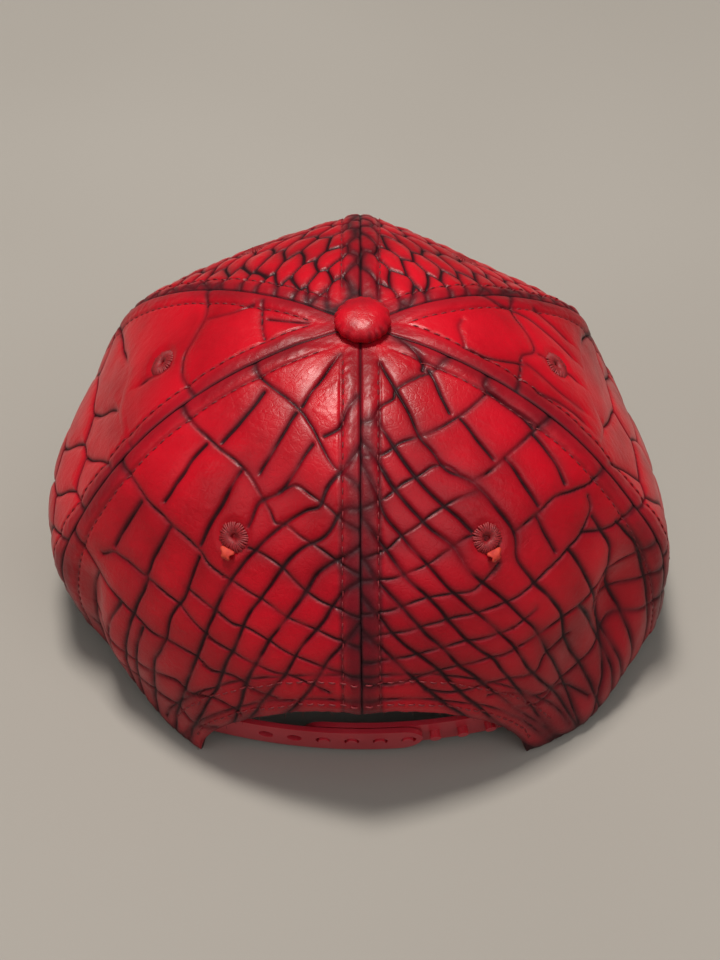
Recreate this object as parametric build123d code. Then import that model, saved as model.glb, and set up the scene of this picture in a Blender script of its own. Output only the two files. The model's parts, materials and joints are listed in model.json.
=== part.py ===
"""Six-panel cap with a snap strap and a removable protective insert, one STEP file per piece.

Everything is drawn in the crown frame first: the origin is the centre of the rim, +Z goes up
to the button, the visor points to -Y and the wearer's left is +X.  At the end the whole cap is
tipped back until it stands on its visor edge and its two rear rim corners, and is moved so
that the origin is the bottom centre of its box.  Lengths are in millimetres, angles in degrees.
"""
from build123d import *
import math
import os

# --- crown: rim ellipse, height and panel layout -------------------------------------------
RIM_HALF_WIDTH = 97.3
RIM_FRONT = 91.7
RIM_BACK = 94.3
CROWN_HEIGHT = 100.8
SEAM_ANGLES = (0.0, 61.5, 111.0, 180.0)      # front centre, front/side, side/back, back centre
SEAM_EXPONENTS = (2.4, 2.17, 2.16, 2.3)      # roundness of the crown profile along each seam
PANEL_FLATNESS = (0.59, 0.86, 0.40)          # how far each panel goes flat between its seams
RIM_FLATNESS = 0.2
PANEL_NAMES = ("front", "side", "back")
SIDES = {"left": 1, "right": -1}

# --- layers of the crown wall, measured inwards from the outer surface ------------------------
LEATHER = (0.0, 1.2)
STIFFENER = (1.5, 2.1)
SEAM_TAPE = (2.5, 3.0)
SWEATBAND = (3.5, 4.5)
SWEATBAND_FOAM = (4.7, 6.2)
SEAM_GAP = 0.15                              # half the gap between two panels
PANEL_TOP = 0.014                            # where a panel starts, as a share of the way down
TAPE_WIDTH = 14.0
TAPE_TOP = 0.10
TAPE_BOTTOM = 0.97
SWEATBAND_BOTTOM = 1.0
SWEATBAND_TOP = 33.0
SWEATBAND_END = 143.0
FOAM_END = 52.0
FOAM_HEIGHTS = (5.0, 29.0)

# --- rear arch ---------------------------------------------------------------------------------
ARCH_HALF_WIDTH = 48.0
ARCH_HEIGHT = 37.5
ARCH_EXPONENT = 1.7
ARCH_FACING_WIDTH = 9.0
ARCH_CORNER = 149.5                          # angle of the rim corner beside the arch

# --- eyelets: angle from the front and share of the way down -----------------------------------
EYELETS = {"front": (33.0, 0.44), "side": (88.0, 0.41), "back": (148.0, 0.487)}
EYELET_RADIUS = 4.2
EYELET_BORE = 1.8
EYELET_LENGTH = 2.2
EYELET_CLEARANCE = 0.2

# --- button ------------------------------------------------------------------------------------
BUTTON_RADIUS = 7.75
BUTTON_HEIGHT = 5.6
DOME_SHOULDER = 0.25                         # straight part of the button's side
BUTTON_COVER = 0.9
BUTTON_SHELL = 0.7
RIVET_RADIUS = 1.3
RIVET_FLANGE_RADIUS = 5.2
RIVET_FLANGE = 0.6
RIVET_REACH = 4.6
RIVET_HEAD_RADIUS = 2.6
RIVET_HEAD_HEIGHT = 2.2
FIT = 0.1

# --- visor -------------------------------------------------------------------------------------
VISOR_ROOT_ANGLE = 64.0
VISOR_ROOT_INSET = 3.0
VISOR_ROOT_HEIGHT = -1.0
VISOR_HALF_WIDTH = 85.5
VISOR_SIDE_Y = -41.0
VISOR_LENGTH = 119.0                         # from the side roots to the tip
VISOR_OUTLINE = 2.15                         # exponent of the outer edge
VISOR_SLOPE = 0.38
VISOR_ARCH = 368.0                           # the sideways arch falls x * x / VISOR_ARCH
VISOR_TOP_COVER = (0.0, 1.0)
VISOR_BOARD = (1.15, 3.15)
VISOR_UNDER_COVER = (3.3, 4.3)
VISOR_BOARD_MARGIN = 0.985

# --- snap strap --------------------------------------------------------------------------------
STRAP_WIDTH = 13.0
STRAP_THICKNESS = 1.5
STRAP_BOW = 170.0                            # radius of the strap's curve in plan
STRAP_CREST = (0.0, 77.6, 8.5)               # middle of the closed strap
STRAP_LEAN = 8.0                             # the top edge leans outwards
STRAP_GAP = 0.35
HINGE_REACH = 44.0                           # from the middle to the point where a half flexes
HINGE_CLEARANCE = 0.35
TAB_LENGTH = 6.0
STUD_PITCH = 8.0
STUD_FIRST = -37.0
STUD_COUNT = 7
STUD_RADIUS = 1.6
STUD_LENGTH = 2.3
HOLE_FIRST = -13.0
HOLE_COUNT = 6
HOLE_RADIUS = 2.2
HOLE_HALF_END = -17.5
STUD_HALF_END = 17.0

# --- protective insert -------------------------------------------------------------------------
INSERT_EXPONENT = 2.15
INSERT_RADIUS = 83.0
INSERT_TOP = 93.5
INSERT_SHELL = 2.4
INSERT_LOWEST = 20.0                         # the dome is drawn from here up, then cut to its edge
INSERT_PROFILE_SHARES = (0.0, 0.3, 0.55, 0.75, 0.9, 0.975)   # where the dome's profile has points
INSERT_EDGE_HEIGHT = 38.0                    # height of the lower edge above the rim, at the middle
INSERT_EDGE_SLOPE = 8.0                      # the edge rises towards the rear arch
PAD_THICKNESS = 5.0
PAD_CLEARANCE = 0.15
CROWN_PAD_RADIUS = 30.0
PAD_ARC = 52.0
PAD_HEIGHTS = (58.5, 79.0)
VENT_WIDTH = 7.0
VENT_LENGTH = 20.0
VENT_ANGLES = (45, 135, 225, 315)
VENT_HEIGHTS = (80.0, 64.0)
TRIM_WALL = 1.2
TRIM_HEIGHT = 7.0
SPACER_ANGLES = {"left": 86.0, "right": -86.0, "front_left": 31.0, "front_right": -31.0}
SPACER_ARC = 9.0
SPACER_HEIGHTS = (50.0, 62.0)
SPACER_INSET = 2.6

PARTS = {}


def panel_index(angle):
    """Number of the panel that holds an angle from the front: 0 front, 1 side, 2 back."""
    away = min(abs(angle), 179.999)
    return sum(away >= seam for seam in SEAM_ANGLES[1:3])


def profile_exponent(angle, panel):
    """Profile roundness, blended between the panel's two seams."""
    low, high = SEAM_ANGLES[panel], SEAM_ANGLES[panel + 1]
    share = (abs(angle) - low) / (high - low)
    return SEAM_EXPONENTS[panel] + (SEAM_EXPONENTS[panel + 1] - SEAM_EXPONENTS[panel]) * share


def crown_point(angle, drop, inset, panel=None):
    """Point of the crown wall at an angle from the front, drop 0 at the button and 1 at the rim."""
    panel = panel_index(angle) if panel is None else panel
    power = 2 / profile_exponent(angle, panel)
    low, high = SEAM_ANGLES[panel], SEAM_ANGLES[panel + 1]
    half = math.radians((high - low) / 2)
    chord = math.cos(half) / math.cos(math.radians(abs(angle) - (low + high) / 2))
    flatness = RIM_FLATNESS + (PANEL_FLATNESS[panel] - RIM_FLATNESS) * min(1.0, (1 - drop) * 2.5)
    sine, cosine = math.sin(math.radians(angle)), math.cos(math.radians(angle))
    depth = (RIM_FRONT if cosine > 0 else RIM_BACK) - inset
    rim = 1 / math.hypot(sine / (RIM_HALF_WIDTH - inset), cosine / depth)
    radius = rim * math.sin(math.pi * drop / 2) ** power * (1 - flatness * (1 - chord))
    height = (CROWN_HEIGHT - inset) * max(math.cos(math.pi * drop / 2), 0.0) ** power
    return Vector(radius * sine, -radius * cosine, height)


def drop_at_height(angle, height, inset=0.0):
    """Share of the way down at which the crown wall has a height."""
    power = 2 / profile_exponent(angle, panel_index(angle))
    return 2 / math.pi * math.acos((height / (CROWN_HEIGHT - inset)) ** (1 / power))


def spread(low, high, count):
    """Evenly spaced values from low to high."""
    return [low + (high - low) * i / (count - 1) for i in range(count)]


def thick_sheet(outer_points, inner_points):
    """Closed solid between two curved faces given as grids of points."""
    outer = Face.make_surface_from_array_of_points(outer_points, tol=0.02, min_deg=3, max_deg=3)
    inner = Face.make_surface_from_array_of_points(inner_points, tol=0.02, min_deg=3, max_deg=3)
    sides = []
    for edge in outer.edges():
        partner = min(inner.edges(), key=lambda other: (other @ 0.5 - edge @ 0.5).length)
        sides.append(Face.make_surface_from_curves(edge, partner))
    return Solid(Shell([outer, inner] + sides))


def panel_patch(panel, side, layer, drops=(PANEL_TOP, 1.0), gap=SEAM_GAP):
    """Sheet over one panel from seam to seam, between two insets of the crown wall."""
    def grid(inset):
        rows = []
        for drop in spread(drops[0], drops[1], 23):
            middle = (SEAM_ANGLES[panel] + SEAM_ANGLES[panel + 1]) / 2
            centre = crown_point(middle, drop, inset, panel)
            margin = math.degrees(gap / math.hypot(centre.X, centre.Y))
            angles = spread(SEAM_ANGLES[panel] + margin, SEAM_ANGLES[panel + 1] - margin, 15)
            rows.append([crown_point(side * angle, drop, inset, panel) for angle in angles])
        return rows
    return thick_sheet(grid(layer[0]), grid(layer[1]))


def band_patch(angles, heights, layer, columns, rows=5):
    """Sheet around the inside of the crown between two heights."""
    def grid(inset):
        return [
            [crown_point(angle, drop_at_height(angle, height), inset) for angle in spread(*angles, columns)]
            for height in spread(*heights, rows)
        ]
    return thick_sheet(grid(layer[0]), grid(layer[1]))


def arch_prism(margin=0.0):
    """Solid that cuts the rear arch, or the arch grown by a margin."""
    half_width, height = ARCH_HALF_WIDTH + margin, ARCH_HEIGHT + margin
    points = []
    for share in spread(-1.0, 1.0, 17):
        x = half_width * math.sin(share * math.pi / 2)
        z = height * (1 - abs(x / half_width) ** ARCH_EXPONENT) ** (1 / ARCH_EXPONENT)
        points.append((x, 40, z))
    curve = Spline(points)
    floor = Polyline(points[-1], (half_width, 40, -10), (-half_width, 40, -10), points[0])
    return extrude(make_face([curve, floor]), amount=90, dir=(0, 1, 0))


def eyelet_plane(row, side):
    """Plane on the leather at an eyelet, with its normal pointing out of the crown."""
    angle, drop = EYELETS[row]
    here = crown_point(side * angle, drop, 0.6)
    across = crown_point(side * angle + 1, drop, 0.6) - crown_point(side * angle - 1, drop, 0.6)
    down = crown_point(side * angle, drop + 0.01, 0.6) - crown_point(side * angle, drop - 0.01, 0.6)
    normal = down.cross(across).normalized()
    return Plane(origin=here, x_dir=across.normalized(), z_dir=normal if normal.Z > 0 else -normal)


def make_panels():
    """Six leather panels, with the eyelet holes and the rear arch cut out."""
    arch = arch_prism()
    for panel, row in enumerate(PANEL_NAMES):
        for name, side in SIDES.items():
            leather = panel_patch(panel, side, LEATHER)
            leather -= eyelet_plane(row, side) * Cylinder(EYELET_RADIUS + EYELET_CLEARANCE, 12)
            if row == "back":
                leather -= arch
            PARTS[f"panel_{row}_{name}"] = leather


def make_eyelets():
    """Stitched rings that line the six vent holes."""
    ring = Cylinder(EYELET_RADIUS, EYELET_LENGTH) - Cylinder(EYELET_BORE, EYELET_LENGTH + 1)
    for row in PANEL_NAMES:
        for name, side in SIDES.items():
            PARTS[f"eyelet_{row}_{name}"] = eyelet_plane(row, side) * ring


def make_stiffeners():
    """Buckram behind the two front panels and leather facings beside the rear arch."""
    facing_band = arch_prism(ARCH_FACING_WIDTH) - arch_prism()
    for name, side in SIDES.items():
        buckram = panel_patch(0, side, STIFFENER, (0.16, 0.98), 1.0)
        PARTS[f"buckram_{name}"] = buckram - eyelet_plane("front", side) * Cylinder(EYELET_RADIUS + 0.6, 16)
        PARTS[f"arch_facing_{name}"] = panel_patch(2, side, STIFFENER, (0.6, 0.995), 0.6) & facing_band


def tape_section(angle, drop, panels):
    """V-shaped cross-section of a seam tape, lying on the two panels beside the seam."""
    seam = crown_point(angle, drop, SEAM_TAPE[0], panels[0])
    ahead = crown_point(angle, drop + 0.01, SEAM_TAPE[0], panels[0])
    tangent = (ahead - seam).normalized()
    inward = tangent.cross(Vector(-seam.Y, seam.X, 0)).normalized()
    inward = -inward if inward.dot(seam) > 0 else inward
    sideways = tangent.cross(inward)
    wings = []
    for panel, step in zip(panels, (-1, 1)):
        turned = abs(angle) + step * 3
        beside = crown_point(turned - 360 if turned > 180 else turned, drop, SEAM_TAPE[0], panel)
        if angle < 0:
            beside = Vector(-beside.X, beside.Y, beside.Z)
        wing = beside - seam
        wing = wing - tangent * wing.dot(tangent)
        wings.append(wing.normalized() * (TAPE_WIDTH / 2))
    thickness = inward * (SEAM_TAPE[1] - SEAM_TAPE[0])
    outline = [seam + wings[0], seam, seam + wings[1], seam + wings[1] + thickness,
               seam + thickness, seam + wings[0] + thickness]
    flat = Plane(origin=seam, x_dir=sideways, z_dir=tangent)
    corners = []
    for point in outline:
        local = flat.to_local_coords(point)
        corners.append(flat.from_local_coords(Vector(local.X, local.Y, 0)))
    return make_face(Polyline(*corners, close=True))


def make_seam_tapes():
    """Six tapes that cover the panel seams on the inside."""
    layout = {"front": (0.0, (0, 0)), "back": (180.0, (2, 2))}
    for name, side in SIDES.items():
        layout[f"front_{name}"] = (side * SEAM_ANGLES[1], (0, 1))
        layout[f"back_{name}"] = (side * SEAM_ANGLES[2], (1, 2))
    for name, (angle, panels) in layout.items():
        sections = [tape_section(angle, drop, panels) for drop in spread(TAPE_TOP, TAPE_BOTTOM, 10)]
        tape = loft(sections)
        if name == "back":
            tape -= arch_prism(0.8)
        PARTS[f"seam_tape_{name}"] = tape


def make_sweatband():
    """Band inside the rim from one arch corner to the other, with foam behind the forehead part."""
    PARTS["sweatband"] = band_patch((-SWEATBAND_END, SWEATBAND_END), (SWEATBAND_BOTTOM, SWEATBAND_TOP),
                                    SWEATBAND, 81)
    PARTS["sweatband_foam"] = band_patch((-FOAM_END, FOAM_END), FOAM_HEIGHTS, SWEATBAND_FOAM, 41)


def dome(radius, height, base):
    """Solid button dome on a base height, with a short straight side."""
    shoulder = height * DOME_SHOULDER
    points = [(radius, 0, base + shoulder)]
    for turn in (30, 60, 90):
        sine, cosine = math.sin(math.radians(turn)), math.cos(math.radians(turn))
        points.append((radius * cosine, 0, base + shoulder + (height - shoulder) * sine))
    curve = Spline(points, tangents=[(0, 0, 1), (-1, 0, 0)])
    side_and_base = Polyline(points[-1], (0, 0, base), (radius, 0, base), points[0])
    return revolve(make_face([curve, side_and_base]), Axis.Z)


def make_button():
    """Leather-covered dome on a metal shell, held by a rivet through the top of the crown."""
    base = CROWN_HEIGHT + 0.2
    radius, height = BUTTON_RADIUS - BUTTON_COVER, BUTTON_HEIGHT - BUTTON_COVER
    PARTS["button_cover"] = dome(BUTTON_RADIUS, BUTTON_HEIGHT, base) - dome(radius, height, base)
    radius, height = radius - FIT, height - FIT
    hollow = dome(radius - BUTTON_SHELL, height - BUTTON_SHELL, base)
    PARTS["button_shell"] = dome(radius, height, base) - hollow
    bottom = CROWN_HEIGHT - RIVET_REACH
    top = base + RIVET_HEAD_HEIGHT
    shaft = Pos(0, 0, (bottom + top) / 2) * Cylinder(RIVET_RADIUS, top - bottom)
    head = Pos(0, 0, top) * Cylinder(RIVET_HEAD_RADIUS, RIVET_FLANGE)
    flange = Pos(0, 0, bottom) * Cylinder(RIVET_FLANGE_RADIUS, RIVET_FLANGE)
    PARTS["button_rivet"] = shaft + head + flange


def visor_height(x, y):
    """Height of the visor's upper surface."""
    return VISOR_ROOT_HEIGHT - VISOR_SLOPE * (-y - RIM_FRONT) - x * x / VISOR_ARCH


def visor_outline(share, size=1.0):
    """Point of the visor's outer edge, share -1 at one side root, 0 at the tip, 1 at the other."""
    turn = share * math.pi / 2
    x = VISOR_HALF_WIDTH * size * math.copysign(abs(math.sin(turn)) ** (2 / VISOR_OUTLINE), share)
    y = VISOR_SIDE_Y - VISOR_LENGTH * size * max(math.cos(turn), 0.0) ** (2 / VISOR_OUTLINE)
    return x, y


def visor_layer(layer, size=1.0):
    """One layer of the visor between two depths below its upper surface."""
    def grid(depth):
        rows = []
        for share in spread(-0.97, 0.97, 33):
            edge_x, edge_y = visor_outline(share, size)
            root = crown_point(share * VISOR_ROOT_ANGLE, 1.0, VISOR_ROOT_INSET)
            row = []
            for reach in spread(0.0, 1.0, 9):
                x = root.X + (edge_x - root.X) * reach
                y = root.Y + (edge_y - root.Y) * reach
                row.append(Vector(x, y, visor_height(x, y) - depth))
            rows.append(row)
        return rows
    return thick_sheet(grid(layer[0]), grid(layer[1]))


def make_visor():
    """Stiff board between an upper and a lower leather cover."""
    PARTS["visor_top_cover"] = visor_layer(VISOR_TOP_COVER)
    PARTS["visor_board"] = visor_layer(VISOR_BOARD, VISOR_BOARD_MARGIN)
    PARTS["visor_under_cover"] = visor_layer(VISOR_UNDER_COVER)


def strap_plane():
    """Plane of the strap: X along it, Y outwards and Z up its width, at the middle of the strap."""
    lean = math.radians(STRAP_LEAN)
    return Plane(origin=STRAP_CREST, x_dir=(1, 0, 0), z_dir=(0, math.sin(lean), math.cos(lean)))


def strap_y(x, offset=0.0):
    """Outward position of a curve that runs a given offset outside the strap's curve."""
    return math.sqrt((STRAP_BOW + offset) ** 2 - x * x) - STRAP_BOW


def strap_bar(x_from, x_to, offset, width=STRAP_WIDTH, round_end=0):
    """Curved bar of the strap's thickness, its free end rounded on the side given by round_end."""
    inner, outer = offset - STRAP_THICKNESS / 2, offset + STRAP_THICKNESS / 2
    middle = (x_from + x_to) / 2
    near = ThreePointArc((x_from, strap_y(x_from, inner)), (middle, strap_y(middle, inner)),
                         (x_to, strap_y(x_to, inner)))
    far = ThreePointArc((x_to, strap_y(x_to, outer)), (middle, strap_y(middle, outer)),
                        (x_from, strap_y(x_from, outer)))
    outline = [near, Line(near @ 1, far @ 0), far, Line(far @ 1, near @ 0)]
    bar = extrude(make_face(outline), amount=width / 2, both=True)
    if round_end:
        end_x = x_to if round_end > 0 else x_from
        centre = end_x - round_end * width / 2
        square = Pos(end_x, 0, 0) * Box(width, 30, width + 2)
        disc = Pos(centre, 0, 0) * Rot(90, 0, 0) * Cylinder(width / 2, 30)
        bar -= square - disc
    return bar


def hinge_point(side, offset):
    """Where a strap half flexes, in the strap plane."""
    return side * HINGE_REACH, strap_y(HINGE_REACH, offset)


def make_strap():
    """Two moulded strap halves and the sewn tabs that they flex from."""
    place = strap_plane()
    hole_offset = (STRAP_THICKNESS + STRAP_GAP) / 2
    stud_offset = -hole_offset
    clear = STRAP_THICKNESS / 2 + HINGE_CLEARANCE
    layout = {"left": (1, hole_offset), "right": (-1, stud_offset)}
    for name, (side, offset) in layout.items():
        inner_x = side * (HINGE_REACH + clear)
        outer_x = side * (HINGE_REACH + clear + TAB_LENGTH)
        tab = strap_bar(min(inner_x, outer_x), max(inner_x, outer_x), offset)
        x, y = hinge_point(side, offset)
        tab -= Pos(x, y, 0) * Cylinder(clear, STRAP_WIDTH + 2)
        PARTS[f"strap_tab_{name}"] = place * tab

    x, y = hinge_point(1, hole_offset)
    knuckle = Pos(x, y, 0) * Cylinder(STRAP_THICKNESS / 2, STRAP_WIDTH)
    half = strap_bar(HOLE_HALF_END, HINGE_REACH, hole_offset, round_end=-1) + knuckle
    for i in range(HOLE_COUNT):
        half -= strap_pin(HOLE_FIRST + i * STUD_PITCH, -6, 6, HOLE_RADIUS)
    PARTS["strap_hole_half"] = place * half

    x, y = hinge_point(-1, stud_offset)
    knuckle = Pos(x, y, 0) * Cylinder(STRAP_THICKNESS / 2, STRAP_WIDTH)
    half = strap_bar(-HINGE_REACH, STUD_HALF_END, stud_offset, round_end=1) + knuckle
    stud_end = stud_offset + STRAP_THICKNESS / 2 + STUD_LENGTH
    for i in range(STUD_COUNT):
        half += strap_pin(STUD_FIRST + i * STUD_PITCH, stud_offset, stud_end, STUD_RADIUS)
    PARTS["strap_stud_half"] = place * half


def strap_pin(x, low, high, radius):
    """Cylinder square to the strap at a place along it, between two offsets."""
    start = Vector(x, strap_y(x, low), 0)
    outward = Vector(x, strap_y(x) + STRAP_BOW, 0).normalized()
    return Plane(origin=start + outward * (high - low) / 2, z_dir=outward) * Cylinder(radius, high - low)


def insert_radius(height, shrink=0.0):
    """Radius of the insert's dome at a height, shrunk inwards by a distance."""
    share = min(1.0, height / (INSERT_TOP - shrink))
    return (INSERT_RADIUS - shrink) * (1 - share ** INSERT_EXPONENT) ** (1 / INSERT_EXPONENT)


def insert_curve(shrink, low, high):
    """Profile of the insert's dome between two heights."""
    points = [(insert_radius(height, shrink), 0, height) for height in spread(low, high, 9)]
    return Spline(points)


def insert_profile(shrink, low):
    """Profile of the insert's dome from a low height up to the axis."""
    top = INSERT_TOP - shrink
    heights = [low + (top - low) * share for share in INSERT_PROFILE_SHARES]
    points = [(insert_radius(height, shrink), 0, height) for height in heights]
    return Spline(points + [(0, 0, top)])


def dome_layer(outer, inner, low):
    """Closed layer of the dome between two shrinks, from a low height up to the axis."""
    outside, inside = insert_profile(outer, low), insert_profile(inner, low)
    face = make_face([outside, Line(outside @ 1, inside @ 1), inside, Line(inside @ 0, outside @ 0)])
    return revolve(face, Axis.Z)


def dome_pad(outer, inner, heights, middle, arc):
    """Pad lining part of the dome: a turned section between two heights, over an arc."""
    outside, inside = insert_curve(outer, *heights), insert_curve(inner, *heights)
    face = make_face([outside, Line(outside @ 1, inside @ 1), inside, Line(inside @ 0, outside @ 0)])
    return Rot(0, 0, middle - arc / 2) * revolve(face, Axis.Z, revolution_arc=arc)


def above_edge(offset):
    """Half space above the insert's sloping lower edge, moved up by an offset."""
    block = Pos(0, 0, 100) * Box(300, 300, 200)
    return Pos(0, 0, INSERT_EDGE_HEIGHT + offset) * Rot(INSERT_EDGE_SLOPE, 0, 0) * block


def make_insert():
    """Moulded shell with vents, its edge trim, foam pads and side spacers."""
    pad_outer = INSERT_SHELL + PAD_CLEARANCE
    shell = dome_layer(0.0, INSERT_SHELL, INSERT_LOWEST) & above_edge(0)
    for turn in VENT_ANGLES:
        for height in VENT_HEIGHTS:
            shell -= Rot(0, 0, turn) * Pos(50, 0, height) * Box(90, VENT_LENGTH, VENT_WIDTH)
    PARTS["insert_shell"] = shell
    lining = dome_layer(pad_outer, pad_outer + TRIM_WALL, INSERT_LOWEST)
    PARTS["insert_edge_trim"] = lining & (above_edge(0) - above_edge(TRIM_HEIGHT))

    cap = dome_layer(pad_outer, pad_outer + PAD_THICKNESS, PAD_HEIGHTS[1])
    PARTS["insert_pad_crown"] = cap & Pos(0, 0, 80) * Cylinder(CROWN_PAD_RADIUS, 60)
    pad_inner = pad_outer + PAD_THICKNESS
    for name, turn in {"left": 0, "back": 90, "right": 180, "front": 270}.items():
        PARTS[f"insert_pad_{name}"] = dome_pad(pad_outer, pad_inner, PAD_HEIGHTS, turn, PAD_ARC)
    for name, angle in SPACER_ANGLES.items():
        PARTS[f"insert_spacer_{name}"] = insert_spacer(angle)


def insert_spacer(angle):
    """Soft block between the insert's shell and the inside of a crown panel."""
    outer, inner = [], []
    for height in spread(*SPACER_HEIGHTS, 5):
        wall, shell = [], []
        for turn in spread(-SPACER_ARC, SPACER_ARC, 7):
            here = angle + turn
            wall.append(crown_point(here, drop_at_height(here, height), SPACER_INSET))
            radius = insert_radius(height) + PAD_CLEARANCE
            sine, cosine = math.sin(math.radians(here)), math.cos(math.radians(here))
            shell.append(Vector(radius * sine, -radius * cosine, height))
        outer.append(wall)
        inner.append(shell)
    return thick_sheet(outer, inner)


def resting_tilt():
    """Angle that the crown tips back so that visor edge and rear rim corners share one plane."""
    corner = crown_point(ARCH_CORNER, 1.0, 0.0)
    angles = []
    for share in spread(-0.97, 0.97, 97):
        x, y = visor_outline(share)
        z = visor_height(x, y) - VISOR_UNDER_COVER[1]
        angles.append(math.degrees(math.atan2(corner.Z - z, corner.Y - y)))
    return max(angles)


for make in (make_panels, make_eyelets, make_stiffeners, make_seam_tapes, make_sweatband, make_button,
             make_visor, make_strap, make_insert):
    make()

REST_TILT = resting_tilt()
tipped = {name: Rot(-REST_TILT, 0, 0) * shape for name, shape in PARTS.items()}
boxes = [shape.bounding_box() for shape in tipped.values()]
FRONT_Y = min(box.min.Y for box in boxes)
BACK_Y = max(box.max.Y for box in boxes)
LOWEST_Z = min(box.min.Z for box in boxes)
ORIGIN_SHIFT = Pos(0, -(FRONT_Y + BACK_Y) / 2, -LOWEST_Z)

os.makedirs("parts", exist_ok=True)
for name, shape in tipped.items():
    export_step(ORIGIN_SHIFT * shape, f"parts/{name}.step")
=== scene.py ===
"""Six-panel leather cap with a snap strap and a protective insert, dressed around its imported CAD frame.

The crown is built in its own frame, which the head_opening mount gives: origin at the rim's centre,
+Z up to the button, -Y to the visor, +X the wearer's left.  Lengths in that frame are millimetres.
"""
import json
import math
import bpy
import bmesh
import numpy as np
from mathutils import Matrix, Vector


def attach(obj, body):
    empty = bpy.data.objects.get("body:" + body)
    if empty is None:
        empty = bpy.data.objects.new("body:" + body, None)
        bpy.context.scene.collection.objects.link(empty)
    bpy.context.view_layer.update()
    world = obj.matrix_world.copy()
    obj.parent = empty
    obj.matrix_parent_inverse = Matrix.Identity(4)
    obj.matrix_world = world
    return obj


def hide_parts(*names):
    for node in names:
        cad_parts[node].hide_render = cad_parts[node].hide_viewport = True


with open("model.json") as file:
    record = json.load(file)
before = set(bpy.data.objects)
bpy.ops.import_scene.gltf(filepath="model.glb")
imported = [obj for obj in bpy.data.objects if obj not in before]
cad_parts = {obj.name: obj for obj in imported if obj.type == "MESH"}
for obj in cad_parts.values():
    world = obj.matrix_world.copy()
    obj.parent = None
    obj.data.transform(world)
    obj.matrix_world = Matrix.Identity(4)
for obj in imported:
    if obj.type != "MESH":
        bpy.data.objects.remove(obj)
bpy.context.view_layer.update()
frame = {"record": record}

MM = 0.001
KINDS = ("front", "side", "back")
SIDES = {1: "left", -1: "right"}     # the wearer's

# --- crown shape, as in the CAD except for the arch's height --------------------------------------
RIM_HALF_WIDTH = 97.3
RIM_FRONT = 91.7
RIM_BACK = 94.3
CROWN_HEIGHT = 100.8
SEAM_ANGLES = np.array((0.0, 61.5, 111.0, 180.0))
SEAM_EXPONENTS = np.array((2.4, 2.17, 2.16, 2.3))
PANEL_FLATNESS = np.array((0.59, 0.86, 0.40))
RIM_FLATNESS = 0.2
ARCH_HALF_WIDTH = 48.0
ARCH_HEIGHT = 41.0                   # 3.5 above the CAD's arch, to show the gap over the strap
ARCH_EXPONENT = 1.7
ARCH_CORNER = 149.5
LEATHER = 1.2

# --- eyelets, by angle and share of the way down, and the button ---------------------------------
EYELETS = {"front": (33.0, 0.44), "side": (88.0, 0.41), "back": (148.0, 0.487)}
EYELET_RADIUS = 4.3
EYELET_BORE = 1.0
EYELET_STITCHES = 34
BUTTON_RADIUS = 7.75
BUTTON_HEIGHT = 5.6
BUTTON_GATHERS = 17

# --- leather detail ---------------------------------------------------------------------------
PANEL_TOP = 0.014
GRID_DOWN = 312
GRID_ACROSS = 288
BACKING_STEP = 4                     # the inside of a panel has one point for every four outside
LINE_WOBBLE = 0.4
DEEPEST = -0.9                       # no groove goes through the leather
RAW_EDGE = 0.0016                    # how unevenly the rim is cut, as a share of the way down
CORNER_ROUNDING = 1.7                # lower rounds the corners of the scales more
GROOVE_WIDTH = 0.62
VALLEY_WIDTH = 1.5                   # width of the burgundy painted shade either side of a groove, round each scale's edge
GROOVE_DEPTH = 0.6
PILLOW = 1.05                        # how far a scale's middle stands above its edges
PILLOW_REACH = 3.0
STITCH_OFFSET = 5.2                  # stitch row beside a seam
STITCH_PITCH = 3.1
STITCH_LENGTH = 2.3
THREAD_RADIUS = 0.27
ARCH_ROWS = (3.2, 10.5)
SHOULDER_HEIGHT = 0.55               # leather rolled up beside a seam
SHOULDER_PLACE = 2.6
SHOULDER_WIDTH = 1.9
SEAM_DEPTH = 0.42
SEAM_WIDTH = 0.45
STITCH_DIP = 0.36
STITCH_DIP_WIDTH = 0.6
PUCKER = 0.14
PUCKER_PLACE = 4.0
PUCKER_WIDTH = 3.5
SEAM_CALM = 4.4                      # how far from a seam the scales are pressed flat
RIM_DROP = 0.25
RIM_WIDTH = 1.6
FRONT_WALL = 165.0                   # length of the wall from the button to the rim
SIDE_WALL = 160.0
FRONT_CELL = (9.0, 10.0)             # scales that aren't drawn line by line: width and length
SIDE_CELL = (24.0, 21.0)
VISOR_CELL = (12.0, 10.5)
CELL_JITTER = 0.2
FLESH_SIDE = 2.0                     # groove value that stands for the back of the leather

# --- linings: depth below the leather's face, angles, and share of the way down or height ---------
STIFFENER = (1.5, 2.1)
STIFFENER_ANGLES = (1.3, 60.0)
STIFFENER_DROPS = (0.16, 0.98)
FACING_ANGLES = (150.2, 179.6)
FACING_WIDTH = 9.0
FACING_EDGE = 0.5
SEAM_TAPE = (2.5, 3.0)
TAPE_HALF_WIDTH = 7.0
TAPE_TOP = 0.10
TAPE_BOTTOM = 0.97
BACK_TAPE_BOTTOM = 0.70              # the back tape ends above the arch
TAPE_ANGLES = {"front": 0.0, "front_left": 61.5, "front_right": -61.5, "back_left": 111.0,
               "back_right": -111.0, "back": 179.99}
SWEATBAND = (3.5, 4.5)
SWEATBAND_END = 143
SWEATBAND_TOP = 33                   # height over the rim
SWEATBAND_TALL = 32
FOAM_INSET = 4.7
FOAM_END = 52
FOAM_TOP = 29
FOAM_TALL = 24
FOAM_THICK = 1.4

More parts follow.
